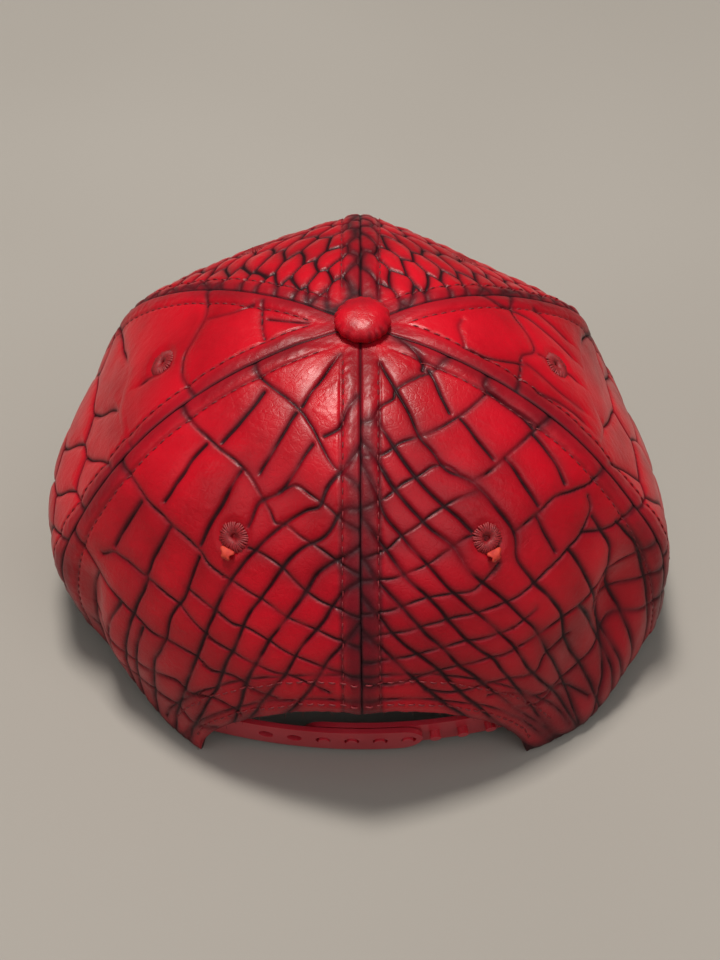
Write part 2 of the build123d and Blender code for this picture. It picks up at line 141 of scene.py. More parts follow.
# --- visor ------------------------------------------------------------------------------------
VISOR_HALF_WIDTH = 85.5
VISOR_SIDE_Y = -41.0
VISOR_LENGTH = 119.0
VISOR_OUTLINE = 2.15
VISOR_ROOT_END = 64.0                # angle from the front at which the visor meets the rim
VISOR_SLOPE = 0.38                   # fall for each millimetre forward
VISOR_CURVE = 368.0                  # its sides fall by the square of x over this
VISOR_ROWS = 90
VISOR_COLUMNS = 300
VISOR_UNDER = 4.3                    # depth of its lower face
VISOR_STITCH_ROWS = np.arange(5.0, 50, 8.0)

# --- insert foams, made over again from their CAD nodes -----------------------------------------
PAD_VOXEL = 0.0011                   # metres
PAD_NODES = ("insert_pad_crown", "insert_pad_left", "insert_pad_back", "insert_pad_right", "insert_pad_front",
             "insert_spacer_left", "insert_spacer_right", "insert_spacer_front_left",
             "insert_spacer_front_right")

# --- camera: the crown's own view, from behind and above -----------------------------------------
VIEW_ELEVATION = 53.2
VIEW_DISTANCE = 515.2
VIEW_CENTRE = (0.7, 7.85, 40.0)
LENS = 64.1
SENSOR = 36.0
FLOOR_HALF_WIDTH = 9                 # metres
WARM = (1.0, 0.96, 0.90)

# --- handling: how far the crown's top leans, and its dents as centre, reach and push -----------------
LEAN = (1.2, -0.6, 0.0)
DENTS = (
    ((66, -54, 66), (24, 28, 22), (2.2, -1.8, 1.2)),
    ((-78, -34, 55), (22, 40, 34), (4.2, 1.6, -1.0)),
    ((-76, 52, 36), (8, 15, 13), (5.6, -4.8, 0.0)),
    ((-78, 58, 14), (10, 14, 9), (-1.6, 1.6, 0.0)),
    ((-62, 66, 30), (7, 9, 16), (1.2, -1.4, 0.0)),
    ((-84, 28, 44), (8, 12, 26), (-1.8, 1.6, 0.0)),
    ((82, 44, 32), (8, 10, 18), (-3.6, -2.6, 0.0)),
    ((76, 56, 20), (6, 8, 16), (1.2, 1.2, 0.0)),
    ((30, 40, 92), (30, 24, 20), (0.0, 0.0, 1.0)),
    ((94, 6, 32), (28, 40, 19), (5.0, 0.0, 1.0)),
    ((82, 48, 0), (26, 34, 20), (-5.5, -3.5, 0.0)),
    ((-40, -46, 82), (30, 30, 26), (0.0, 1.0, -3.0)),
    ((-68, -46, 68), (18, 22, 16), (-3.2, -1.0, 1.0)),
    ((-88, 20, 40), (16, 24, 20), (-2.4, 0.0, 0.0)),
    ((-64, 66, 2), (16, 16, 12), (-2.2, 2.4, 0.0)),
)

DROP_AT_TOP = 0.03                   # share of the way down at 0 percent, and for each percent
DROP_PER_PERCENT = 0.0097

# Grooves of the two rear panels.  Each is a line across the panel, as percent across and percent
# down: 0 across is the side seam and 100 the back centre seam, 0 down is the button, 100 the rim.
LEFT_ROWS = (
    ((1, 16), (13, 17), (50, 17.6), (67, 20), (78, 23), (86, 26), (94, 27.5), (100, 29)),
    ((1, 32), (11, 33), (43, 33.6), (54, 35.6), (63, 39), (67, 41), (71, 40.5), (78, 42), (86, 43),
     (100, 46)),
    ((65, 35), (71, 32.6), (78, 33), (86, 34), (93, 36), (100, 37)),
    ((60, 48), (67, 48), (74, 49), (81, 51), (89, 53), (100, 54.5)),
    ((0, 49.5), (16, 51), (31, 52), (43, 53), (49, 55), (63, 56), (71, 57), (78, 58.6), (86, 59), (100, 61)),
    ((44, 62), (54, 63), (61, 64), (67, 63.6), (76, 65), (83, 66), (93, 67), (100, 67.5)),
    ((12, 69), (17, 66), (31, 65.5), (43, 66), (53, 69), (60, 70), (74, 71), (80, 70.6), (91, 72)),
    ((0, 70), (9, 73.5), (16, 74.5), (29, 75), (37, 76), (50, 75), (57, 76.6), (64, 75.6), (70, 77),
     (77, 77)),
    ((10, 86.5), (31, 87), (41, 85), (47, 83.6), (51, 85), (60, 83), (67, 84)),
    ((8, 93.5), (23, 93), (40, 91), (47, 90.5), (53, 93), (60, 90.5)),
)
LEFT_COLUMNS = (
    ((26, 19), (28, 23), (29, 32)),
    ((54, 19), (54.5, 25), (53.5, 33)),
    ((62, 4), (58, 10), (55, 17)),
    ((98, 11), (91, 14), (86, 18), (78, 21)),
    ((73, 23.5), (69, 29), (66, 34.5), (58, 38.5), (57, 44)),
    ((100, 21), (92, 26), (86, 30), (84, 34.5), (77, 36.7), (68, 42.5), (61, 50), (56, 59), (54.6, 65.5),
     (52.6, 72), (50.7, 80), (48.3, 88), (46.4, 94)),
    ((100, 33), (93, 34.5), (87, 40), (77, 45.5), (71.4, 53), (66.4, 59.5), (64, 66.8), (61.4, 73),
     (59.7, 79), (55.7, 87.5), (53, 93)),
    ((100, 40), (94, 43), (86, 47.5), (81.4, 54.5), (75.7, 61), (72, 67.5), (69, 73), (67, 80)),
    ((100, 47), (95, 50), (90, 56), (84, 62.2), (80, 68.3), (76.7, 73.5)),
    ((100, 56), (97, 59), (91.7, 64), (88.6, 68.5), (86, 72)),
    ((45, 34.5), (44, 40), (43, 52)),
    ((23.6, 34.5), (23.6, 49)),
    ((15.7, 52.5), (15.4, 65)),
    ((30, 52.5), (29, 65)),
    ((44.3, 54.5), (44, 64), (41.4, 69), (41.4, 76), (39, 83), (38, 93)),
    ((30, 66), (29, 74.5)),
    ((12, 75), (10.3, 82), (11, 92.5)),
    ((23.6, 75.5), (21, 84), (21.7, 92.5)),
    ((33, 76.5), (31.7, 85), (31, 92.5)),
)
RIGHT_ROWS = (
    ((100, 16), (91, 16.3), (84, 14.2), (71, 13.4), (64, 11.8), (40, 11.6), (20, 12.5), (0, 13)),
    ((100, 22.8), (87, 23.2), (74, 22.2), (50, 22.8), (14, 23), (8.6, 21.5), (0, 20.8)),
    ((100, 33), (91, 32.2), (81, 30.4), (71, 29.8), (64, 29.2), (57, 30.5), (52, 34), (48.6, 35),
     (31, 35), (14, 34.5), (0, 35.2)),
    ((100, 42.8), (91, 42), (84, 40.2), (74, 38.4), (63, 37.4), (50, 37.4)),
    ((100, 47), (88.6, 48), (78.6, 47.4), (70, 46.2), (61, 45), (53, 46.2)),
    ((43, 49.2), (33, 48.4), (23, 47.8), (14, 49.8), (8.6, 51), (0, 51)),
    ((100, 53.8), (90, 54.2), (80, 54), (71, 54.8), (64, 55.5), (58.6, 54.5), (53, 53)),
    ((100, 58.8), (84, 59.4), (74, 59.8), (64, 60.6), (53, 61.5), (43, 60.6), (31, 59.2), (20.7, 57.8),
     (14, 55.6), (11.7, 52.8)),
    ((100, 64), (88.6, 64.8), (78.6, 65.2), (70, 65.6), (61, 66.8), (53, 67.2), (45.7, 66)),
    ((100, 69), (90, 70), (81, 70), (71, 70.5), (64, 71.2), (57, 72), (48.6, 71.5), (37, 71.6), (18.6, 71.4)),
    ((83, 73.5), (74, 76.2), (65.7, 77), (58.6, 78), (50, 79.5), (45.7, 76.8), (37, 76.5)),
    ((65.7, 80), (58.6, 82), (50, 86), (43, 86), (34, 86)),
    ((57, 86), (50.7, 88), (43, 87), (34, 94)),
    ((18.6, 71.4), (9, 72.5), (0, 72)),
    ((26, 76), (14, 79), (0, 80)),
    ((34, 86), (20, 84), (8, 87), (0, 88)),
    ((20.7, 57.8), (10, 62), (0, 62)),
)
RIGHT_COLUMNS = (
    ((66, 5.5), (65, 13), (65, 21.5), (61.7, 26), (58.6, 31), (50.7, 34.5), (48, 38), (45, 43), (43, 49),
     (46.4, 54.5), (44.3, 60), (41.4, 64), (38, 70), (38.6, 77), (34.3, 86), (32, 94)),
    ((88, 16.5), (81.4, 22.5), (76.4, 27), (70.7, 32.5), (65, 37.5), (61.4, 41), (58.6, 44), (54.6, 47.5)),
    ((100, 19.5), (91.4, 24), (85.7, 30), (78.6, 36.2), (73, 41), (66.4, 46), (63.6, 51), (58, 57),
     (53, 63), (48, 70), (45, 76.5), (41.4, 86), (40, 93)),
    ((100, 23.5), (93.6, 30), (90, 35), (83.6, 41), (78, 47), (73, 52.5), (68, 57), (62, 63), (57, 69),
     (54, 74), (50.3, 80.5), (45, 88), (41, 96)),
    ((100, 34), (94.3, 38.5), (89.3, 44), (83.6, 50), (77, 56), (73, 61), (68.6, 66), (63, 71.5),
     (59.3, 77), (54.3, 85), (50, 93)),
    ((100, 42.5), (94.3, 48), (88.6, 53), (83, 59), (77, 65), (73, 70), (68, 75), (63.6, 80), (57, 87)),
    ((100, 50), (95.7, 54), (90, 60), (84, 65), (78.6, 70), (73.6, 76)),
    ((100, 57), (94.3, 62), (89.3, 67), (84.6, 71.5)),
    ((24.3, 11.8), (34.3, 17), (39.3, 21.2)),
    ((36.4, 23.5), (36, 28), (35, 33.5)),
    ((10.7, 23), (10, 34)),
    ((30, 35.2), (30.3, 47)),
    ((12, 35), (14.3, 43), (16.4, 47)),
    ((33, 49), (32.6, 57.5)),
    ((28, 59), (26.4, 64), (25.4, 70)),
    ((14.3, 57), (13.6, 65), (17, 71)),
    ((31.4, 72), (28.6, 77), (25.7, 85), (25.4, 94)),
    ((1.5, 3), (20, 9.5), (28.6, 11)),
    ((17, 71), (15, 84), (17, 102)),
    ((8, 62), (6, 76), (8, 102)),
)
LEFT_SIDE_GROOVES = (
    ((0, 30), (28, 29), (48, 31), (70, 33), (100, 29)),
    ((10, 16), (34, 15.5), (70, 14)),
    ((16, 18), (26, 23), (29, 28)),
    ((60, 37), (61, 47), (55, 58), (48, 68)),
    ((0, 63), (30, 66), (48, 56), (70, 50), (100, 46)),
    ((50, 6), (38, 14)), ((27, 50), (28, 66)), ((88, 50), (90, 64)),
    ((8, 66), (20, 82), (40, 88), (66, 86), (100, 80)), ((66, 54), (72, 70), (70, 86)),
)
RIGHT_SIDE_GROOVES = (
    ((0, 30), (20, 29), (48, 33), (62, 29), (80, 28), (100, 27)),
    ((36, 16), (50, 15), (78, 16)), ((78, 17), (80, 21), (70, 29)),
    ((52, 34), (54, 42), (60, 52)), ((68, 30), (76, 38), (77, 49)), ((90, 32), (84, 40), (86, 50)),
    ((0, 22), (12, 26), (20, 33), (34, 42), (46, 54)), ((10, 36), (24, 44), (34, 56)),
    ((0, 46), (22, 52), (46, 56), (70, 54), (100, 50)), ((30, 58), (28, 72), (34, 86)),
    ((0, 70), (20, 76), (50, 74), (76, 70), (100, 72)), ((60, 56), (64, 72)),
)


# --- shape of the crown ---------------------------------------------------------------------------
def crown_matrix():
    """Crown frame to row frame, from the mount at the head opening."""
    mount = next(m for m in frame["record"]["mounts"] if m["name"] == "head_opening")
    up = -Vector(mount["axis"]).normalized()
    side = Vector((1, 0, 0))
    back = up.cross(side)
    turn = Matrix((side, back, up)).transposed().to_4x4()
    return Matrix.Translation(mount["pos_m"]) @ turn @ Matrix.Scale(MM, 4)


CROWN = crown_matrix()


def to_row(points):
    """Crown-frame millimetres to row-frame metres, for an array of points."""
    matrix = np.array(CROWN)
    return np.asarray(points) @ matrix[:3, :3].T + matrix[:3, 3]


def smooth_step(low, high, value):
    """0 below low, 1 above high, smooth between."""
    share = np.clip((value - low) / (high - low), 0, 1)
    return share * share * (3 - 2 * share)


def bell(distance, width):
    """1 at no distance, falling smoothly to 0 over a width."""
    return np.exp(-(distance / width) ** 2)


def handled(points):
    """Points of the crown with the dents and the lean that handling has left in it."""
    high = smooth_step(20, 90, points[..., 2])[..., None]
    moved = points + high * smooth_step(-90, 90, points[..., 0])[..., None] * np.array(LEAN)
    for centre, reach, push in DENTS:
        gap = np.linalg.norm((points - np.array(centre)) / np.array(reach), axis=-1)
        moved += bell(gap, 1)[..., None] * np.array(push)
    return moved


def crown_surface(angle, drop, inset=0.0, panel=0):
    """Points of one panel's wall; angle from the front in degrees, drop 0 at the button and 1 at the rim."""
    angle, drop = np.asarray(angle, float), np.asarray(drop, float)
    away = np.abs(angle)
    low, high = SEAM_ANGLES[panel], SEAM_ANGLES[panel + 1]
    blend = (away - low) / (high - low)
    power = 2 / (SEAM_EXPONENTS[panel] * (1 - blend) + SEAM_EXPONENTS[panel + 1] * blend)
    chord = math.cos(math.radians((high - low) / 2)) / np.cos(np.radians(away - (low + high) / 2))
    flatness = RIM_FLATNESS + (PANEL_FLATNESS[panel] - RIM_FLATNESS) * np.minimum(1.0, (1 - drop) * 2.5)
    sine, cosine = np.sin(np.radians(angle)), np.cos(np.radians(angle))
    depth = np.where(cosine > 0, RIM_FRONT, RIM_BACK) - inset
    rim = 1 / np.hypot(sine / (RIM_HALF_WIDTH - inset), cosine / depth)
    radius = rim * np.sin(np.pi * drop / 2) ** power * (1 - flatness * (1 - chord))
    height = (CROWN_HEIGHT - inset) * np.maximum(np.cos(np.pi * drop / 2), 0) ** power
    return np.stack([radius * sine, -radius * cosine, height], -1)


def crown_normals(points):
    """Outward unit normals of a grid of points."""
    down = np.gradient(points, axis=0)
    across = np.gradient(points, axis=1)
    normal = np.cross(down, across)
    normal /= np.linalg.norm(normal, axis=-1, keepdims=True) + 1e-12
    facing = np.sum(normal * (points - np.array((0, 0, 25))), -1, keepdims=True)
    return normal * np.sign(facing)


def arch_height(x, grow=0.0):
    """Height of the rear arch's edge, grown outwards by a distance, at a sideways place."""
    share = np.clip(np.abs(x) / (ARCH_HALF_WIDTH + grow), 0, 1)
    return (ARCH_HEIGHT + grow) * (1 - share ** ARCH_EXPONENT) ** (1 / ARCH_EXPONENT)


def lowest_drop(angles, side, grow=0.0):
    """Where each column of a rear panel ends: at the rim, or at the arch grown by a distance."""
    low, high = np.full(len(angles), 0.4), np.ones(len(angles))
    for _ in range(40):
        middle = (low + high) / 2
        point = crown_surface(side * angles, middle, 0.0, 2)
        inside = point[:, 2] < arch_height(point[:, 0], grow)
        high = np.where(inside, middle, high)
        low = np.where(inside, low, middle)
    return low


# --- scales ---------------------------------------------------------------------------------------
def smooth_line(points, steps=5):
    """Catmull-Rom line through given points."""
    points = np.array(points, float)
    padded = np.vstack([2 * points[0] - points[1], points, 2 * points[-1] - points[-2]])
    line = []
    for a, b, c, d in zip(padded[:-3], padded[1:-2], padded[2:-1], padded[3:]):
        for t in np.linspace(0, 1, steps, endpoint=False):
            line.append(0.5 * (2 * b + (c - a) * t + (2 * a - 5 * b + 4 * c - d) * t * t
                               + (3 * b - a - 3 * c + d) * t ** 3))
    return np.array(line + [points[-1]])


def distance_to_line(points, line):
    """Shortest distance from each point to a line of 3-D points."""
    best = np.full(points.shape[:-1], 1e9)
    for start, end in zip(line[:-1], line[1:]):
        along = end - start
        share = np.clip(((points - start) @ along) / max(along @ along, 1e-9), 0, 1)
        gap = points - start - share[..., None] * along
        best = np.minimum(best, np.einsum("...i,...i->...", gap, gap))
    return np.sqrt(best)


def run_to_rim(line):
    """A column that ends near the rim, carried on to it."""
    (x0, y0), (x1, y1) = line[-2:]
    if y1 < 66 or y1 > 98:
        return line
    return line + ((x1 + (x1 - x0) * (102 - y1) / (y1 - y0), 102),)


def arch_line(side, offset):
    """Groove that follows the rear arch at a distance, in percent across and down."""
    angles = np.linspace(140, 179.5, 14)
    ends = lowest_drop(angles, side, offset + 1.5)
    across = (angles - SEAM_ANGLES[2]) / (SEAM_ANGLES[3] - SEAM_ANGLES[2]) * 100
    return tuple(zip(across, (ends - DROP_AT_TOP) / DROP_PER_PERCENT))


def panel_grooves(panel, side):
    """Groove lines of a side or rear panel in percent across and down, each with its strength."""
    if panel == 2:
        rows, columns = (LEFT_ROWS, LEFT_COLUMNS) if side > 0 else (RIGHT_ROWS, RIGHT_COLUMNS)
        lines = [(line, 0.9) for line in rows] + [(run_to_rim(line), 1.1) for line in columns]
        return lines + [(arch_line(side, offset), 0.8) for offset in ARCH_ROWS]
    lines = LEFT_SIDE_GROOVES if side > 0 else RIGHT_SIDE_GROOVES
    return [(line, 0.7) for line in lines]


def groove_angle(panel, side, across):
    """Angle of a percent across a panel, counted from its forward seam."""
    low, high = SEAM_ANGLES[panel], SEAM_ANGLES[panel + 1]
    return side * (low + (high - low) * across / 100)


def scale_field(points, panel, side):
    """Distance to the nearest groove and its strength, at every point of a panel."""
    warp = np.stack([fractal(points, 11, 43 + k, 2) for k in range(3)], -1)
    points = points + LINE_WOBBLE * warp
    total = np.zeros(points.shape[:-1])
    nearest = np.full(points.shape[:-1], 1e9)
    strength = np.ones(points.shape[:-1])
    for line, weight in panel_grooves(panel, side):
        percent = smooth_line(line)
        angle = groove_angle(panel, side, percent[:, 0])
        route = crown_surface(angle, DROP_AT_TOP + DROP_PER_PERCENT * percent[:, 1], 0.0, panel)
        gap = distance_to_line(points, route) / weight
        strength = np.where(gap < nearest, weight, strength)
        nearest = np.minimum(nearest, gap)
        total += (gap + 0.05) ** -CORNER_ROUNDING
    return total ** (-1 / CORNER_ROUNDING) * 1.3, strength


def cell_field(across, down, width, length, seed):
    """Distance to the edges of jittered staggered cells, in the units of width and length."""
    draw = np.random.default_rng(seed)
    jitter = draw.uniform(-CELL_JITTER, CELL_JITTER, (64, 64, 2))
    column, row = np.floor(across / width).astype(int), np.floor(down / length).astype(int)
    first, second = np.full(across.shape, 1e9), np.full(across.shape, 1e9)
    for i in range(-2, 3):
        for j in range(-2, 3):
            shift = jitter[(column + i) % 64, (row + j) % 64]
            x = (column + i + 0.5 + 0.5 * ((row + j) % 2) + shift[..., 0]) * width
            y = (row + j + 0.5 + shift[..., 1]) * length
            gap = np.hypot(across - x, (down - y) * width / length)
            second = np.where(gap < first, first, np.minimum(second, gap))
            first = np.minimum(first, gap)
    return (second - first) / 2


def fractal(points, size, seed, octaves=3):
    """Fractal noise at points in millimetres, about -1 to 1."""
    draw = np.random.default_rng(seed)
    total = np.zeros(points.shape[:-1])
    for octave in range(octaves):
        waves = draw.normal(0, 1, (10, 3)) * (2 ** octave) * 2.2 / size
        phases = draw.uniform(0, 2 * math.pi, 10)
        layer = np.sin(points @ waves.T + phases).sum(-1) / math.sqrt(10)
        total += layer / 2 ** octave
    return total / 1.6


# --- meshes ---------------------------------------------------------------------------------------
def new_object(name, points, faces):
    """Smooth mesh object from row-frame points and faces."""
    mesh = bpy.data.meshes.new(name)
    mesh.from_pydata([tuple(p) for p in points], [], faces)
    mesh.validate()
    mesh.polygons.foreach_set("use_smooth", np.ones(len(mesh.polygons), bool))
    thing = bpy.data.objects.new(name, mesh)
    bpy.context.scene.collection.objects.link(thing)
    return thing


def mark_groove_shade(thing, groove):
    """Groove value, which carries the painted shade, on the outer vertices, which come first, and FLESH_SIDE
    on the rest.
    """
    rest = len(thing.data.vertices) - groove.size
    values = np.concatenate([groove.reshape(-1), np.full(rest, FLESH_SIDE)])
    layer = thing.data.attributes.new("groove", "FLOAT", "POINT")
    layer.data.foreach_set("value", values.astype(np.float32))


def finish_piece(thing, body, material, nodes=()):
    """Material, slot, body and the CAD nodes that a piece stands for."""
    thing.data.materials.clear()
    thing.data.materials.append(material)
    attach(thing, body)
    if nodes:
        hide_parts(*nodes)
    return thing


def grid_faces(rows, columns, start=0, flip=False):
    """Quads of a grid of points stored row by row."""
    index = np.arange(rows * columns).reshape(rows, columns) + start
    quads = np.stack([index[:-1, :-1], index[:-1, 1:], index[1:, 1:], index[1:, :-1]], -1).reshape(-1, 4)
    return quads[:, ::-1] if flip else quads


def closed_sheet(name, outer, inner, step):
    """Closed thin mesh: a fine outer grid, a coarser inner grid and a border between them."""
    rows, columns = outer.shape[:2]
    inner = inner[::step, ::step]
    inner_rows, inner_columns = inner.shape[:2]
    start = rows * columns
    faces = [tuple(q) for q in grid_faces(rows, columns)]
    faces += [tuple(q) for q in grid_faces(inner_rows, inner_columns, start, flip=True)]
    fine = np.arange(rows * columns).reshape(rows, columns)
    coarse = np.arange(inner_rows * inner_columns).reshape(inner_rows, inner_columns) + start
    borders = ((fine[0], coarse[0], True), (fine[-1], coarse[-1], False),
               (fine[:, 0], coarse[:, 0], False), (fine[:, -1], coarse[:, -1], True))
    for fine_edge, coarse_edge, flip in borders:
        for k in range(len(coarse_edge) - 1):
            ring = list(fine_edge[k * step:(k + 1) * step + 1]) + [coarse_edge[k + 1], coarse_edge[k]]
            faces.append(tuple(int(v) for v in (ring[::-1] if flip else ring)))
    points = np.vstack([outer.reshape(-1, 3), inner.reshape(-1, 3)])
    thing = new_object(name, to_row(points), faces)
    orient_out(thing)
    return thing


def ring_faces(rings, turns):
    """Faces of stacked rings of points, with a cap at each end."""
    faces = []
    for k in range(rings - 1):
        for j in range(turns):
            a, b = k * turns + j, k * turns + (j + 1) % turns
            faces.append((a, b, b + turns, a + turns))
    last = (rings - 1) * turns
    faces.append(tuple(reversed(range(turns))))
    faces.append(tuple(last + j for j in range(turns)))
    return faces


def tube_points(points, radii, sides):
    """Ring of points round each point of a line."""
    points = np.asarray(points, float)
    tangents = np.gradient(points, axis=0)
    tangents /= np.linalg.norm(tangents, axis=1, keepdims=True) + 1e-12
    guide = np.array((0.31, 0.22, 0.93))
    turns = np.linspace(0, 2 * math.pi, sides, endpoint=False)
    made = []
    for point, tangent, radius in zip(points, tangents, radii):
        side = np.cross(tangent, guide)
        side /= np.linalg.norm(side) + 1e-12
        other = np.cross(tangent, side)
        made.append(point + radius * (np.cos(turns)[:, None] * side + np.sin(turns)[:, None] * other))
    return np.vstack(made)


def joined_tubes(name, tubes, material, nodes=(), sides=6):
    """Thread piece on the crown made of many tubes, each a line of points with its radii."""
    points, faces, count = [], [], 0
    for line, radii in tubes:
        made = tube_points(line, radii, sides)
        points.append(made)
        faces += [tuple(v + count for v in face) for face in ring_faces(len(line), sides)]
        count += len(made)
    thing = new_object(name, to_row(np.vstack(points)), faces)
    finish_piece(thing, "crown", MATERIALS[material], nodes)


def stitches(line, normals, pitch=STITCH_PITCH, length=STITCH_LENGTH, lift=0.05, radius=THREAD_RADIUS):
    """Short thread lengths along a line, each sinking into the leather at both ends."""
    line = np.asarray(line, float)
    steps = np.linalg.norm(np.diff(line, axis=0), axis=1)
    travelled = np.concatenate([[0], np.cumsum(steps)])
    sink = np.array((-0.38, 0.02, 0.16, 0.16, 0.02, -0.38)) + lift
    thickness = radius * np.array((0.7, 1, 1.05, 1.05, 1, 0.7))
    count = max(int(travelled[-1] / pitch), 1)
    tubes = []
    for i in range(count):
        start = (i + 0.5) * travelled[-1] / count - length / 2
        places = start + np.linspace(0, length, 6)
        at = np.stack([np.interp(places, travelled, line[:, k]) for k in range(3)], -1)
        out = np.stack([np.interp(places, travelled, normals[:, k]) for k in range(3)], -1)
        tubes.append((at + out * sink[:, None], thickness))
    return tubes


# --- leather panels ---------------------------------------------------------------------------------
def scale_gap(points, panel, side, angles, drops, reach):
    """Distance to the nearest groove and the grooves' strength, over one panel."""
    if panel == 0:
        across = np.radians(angles)[None, :] * reach + 2.0 * fractal(points, 24, 47 + side)
        down = drops * FRONT_WALL + 2.0 * fractal(points, 24, 51 + side)
        tight = 0.85 * (1 - np.exp(-across / 15))
        column = (across / 11.5 + tight) * FRONT_CELL[0]
        return cell_field(column, down + 0.35 * across, *FRONT_CELL, 5 + side), 0.85
    gap, strength = scale_field(points, panel, side)
    if panel == 1:
        across = np.radians(angles)[None, :] * reach + 2.5 * fractal(points, 30, 47 + side)
        down = drops * SIDE_WALL + 2.5 * fractal(points, 30, 51)
        low_cells = cell_field(across + 100, down, *SIDE_CELL, 12 + side)
        lower = smooth_step(0.46, 0.56, drops)
        gap = np.minimum(gap + 14 * lower, low_cells * 1.4 + 14 * (1 - lower))
    return gap, strength


def relief(points, panel, side, angles, drops, ends):
    """Height of the leather over the smooth crown, and the groove value for its colour, which holds painted
    shade in and beside the grooves.
    """
    reach = np.hypot(points[..., 0], points[..., 1])
    gap, strength = scale_gap(points, panel, side, angles, drops, reach)
    to_low = np.radians(angles - SEAM_ANGLES[panel])[None, :] * reach
    to_high = np.radians(SEAM_ANGLES[panel + 1] - angles)[None, :] * reach
    seam = np.minimum(to_low, to_high)
    rim_gap = (ends[None, :] - drops) * CROWN_HEIGHT * math.pi / 2
    stitch_line = bell(seam - STITCH_OFFSET, STITCH_DIP_WIDTH)
    near = np.exp(-(seam / SEAM_CALM) ** 4)
    fade = smooth_step(8, 20, reach)

    grain = fractal(points, 5.0, 31 + panel) * 0.5 + fractal(points, 1.7, 37 + panel, 2) * 0.5
    width = GROOVE_WIDTH * strength * (1 + 0.22 * fractal(points, 14, 41))
    groove = bell(gap, width)
    height = PILLOW * (1 - np.exp(-gap / PILLOW_REACH)) - GROOVE_DEPTH * strength * groove + 0.05 * grain
    height += 0.06 * np.sin(gap * 2.2 + 2 * grain) * np.exp(-gap / 3.0)
    shoulder = SHOULDER_HEIGHT * bell(seam - SHOULDER_PLACE, SHOULDER_WIDTH)
    valley = -SEAM_DEPTH * bell(seam, SEAM_WIDTH)
    thread_dip = -STITCH_DIP * stitch_line
    pucker = PUCKER * fractal(points, 4.5, 53) * bell(seam - PUCKER_PLACE, PUCKER_WIDTH)
    height = height * (1 - 0.55 * near) * fade + shoulder * fade + valley + thread_dip * fade + pucker
    edge = bell(rim_gap, RIM_WIDTH)
    height = height * (1 - 0.7 * edge) - RIM_DROP * edge

    # Colour from here on: the groove term paints shade into the grooves' floors, weaker beside the seams.
    groove = groove * (1 - 0.35 * near) * fade
    # Painted shade round each scale's edge beside the grooves, over darker tone beside the seams and random
    # tone.
    tone_and_painted_shade = 0.28 * near + 0.42 * bell(gap, VALLEY_WIDTH) + 0.08 * fractal(points, 26, 59)
    if panel == 2:
        tone_and_painted_shade = tone_and_painted_shade + 0.13 * bell(to_high, 11) * smooth_step(0.2, 0.5, drops)
    # Darker towards the rim, painted shade on the lower wall; then the seam line's own dark.
    tone_and_painted_shade = tone_and_painted_shade + 0.16 * smooth_step(0.72, 1.0, drops) + 0.38 * bell(seam, 0.4)
    # Painted shade in the sunken stitch rows.
    tone_and_painted_shade = tone_and_painted_shade + 0.2 * stitch_line * fade
    # Painted shade where the rim's edge rolls down.
    tone_and_painted_shade = tone_and_painted_shade + 0.18 * bell(rim_gap, 3.0)
    return np.maximum(height, DEEPEST), np.clip(np.maximum(groove, tone_and_painted_shade), 0, 1)


def eyelet_place(name, side):
    """Centre, outward normal and a short step towards the button, for an eyelet's place on the leather."""
    angle, drop = EYELETS[name]
    panel = KINDS.index(name)
    patch_angles = side * angle + np.array((-1.5, 0, 1.5))[None, :] + np.zeros((3, 1))
    patch_drops = drop + np.array((-0.02, 0, 0.02))[:, None] + np.zeros((1, 3))
    patch = handled(crown_surface(patch_angles, patch_drops, 0.0, panel))
    return patch[1, 1], crown_normals(patch)[1, 1], patch[0, 1] - patch[1, 1]


def leather_panel(kind, side):
    """One of the crown's six panels as embossed leather."""
    panel = KINDS.index(kind)
    margin = 0.05
    angles = np.linspace(SEAM_ANGLES[panel] + margin, SEAM_ANGLES[panel + 1] - margin, GRID_ACROSS + 1)
    ends = lowest_drop(angles, side) if panel == 2 else np.ones(len(angles))
    raw_edge = np.stack([angles * side, 0 * angles, 0 * angles], -1)
    ends = ends - RAW_EDGE * (1 + np.clip(fractal(raw_edge, 2.5, 29), -1, 1))
    rows = np.linspace(0, 1, GRID_DOWN + 1)[:, None]
    drops = PANEL_TOP + (ends[None, :] - 0.0005 - PANEL_TOP) * rows
    smooth = crown_surface(side * angles[None, :] + 0 * drops, drops, 0.0, panel)
    height, groove = relief(smooth, panel, side, angles, drops, ends)
    shaped = handled(smooth)
    normals = crown_normals(shaped)
    centre, _, _ = eyelet_place(kind, side)
    from_eyelet = np.linalg.norm(shaped - centre, axis=-1)
    height = height * smooth_step(3.0, 6.5, from_eyelet) - 0.5 * (1 - smooth_step(2.0, 4.5, from_eyelet))
    outer = shaped + normals * height[..., None]
    inner = handled(crown_surface(side * angles[None, :] + 0 * drops, drops, LEATHER, panel))
    thing = closed_sheet(f"leather_{kind}_{SIDES[side]}", outer, inner, BACKING_STEP)
    mark_groove_shade(thing, groove)
    finish_piece(thing, "crown", MATERIALS["leather"], (f"panel_{kind}_{SIDES[side]}",))
    return outer, normals, angles


def orient_out(thing):
    """Face normals made to point out of a closed mesh."""
    work = bmesh.new()
    work.from_mesh(thing.data)
    bmesh.ops.recalc_face_normals(work, faces=work.faces)
    work.to_mesh(thing.data)
    work.free()


def row_on_panel(outer, normals, columns, rows):
    """Points and normals of a grid at fractional places."""
    columns, rows = np.asarray(columns, float), np.asarray(rows, float)
    c0 = np.clip(columns.astype(int), 0, outer.shape[1] - 2)
    r0 = np.clip(rows.astype(int), 0, outer.shape[0] - 2)
    fc, fr = (columns - c0)[:, None], (rows - r0)[:, None]

    def blend(grid):
        top = grid[r0, c0] * (1 - fc) + grid[r0, c0 + 1] * fc
        bottom = grid[r0 + 1, c0] * (1 - fc) + grid[r0 + 1, c0 + 1] * fc
        return top * (1 - fr) + bottom * fr
    return blend(outer), blend(normals)


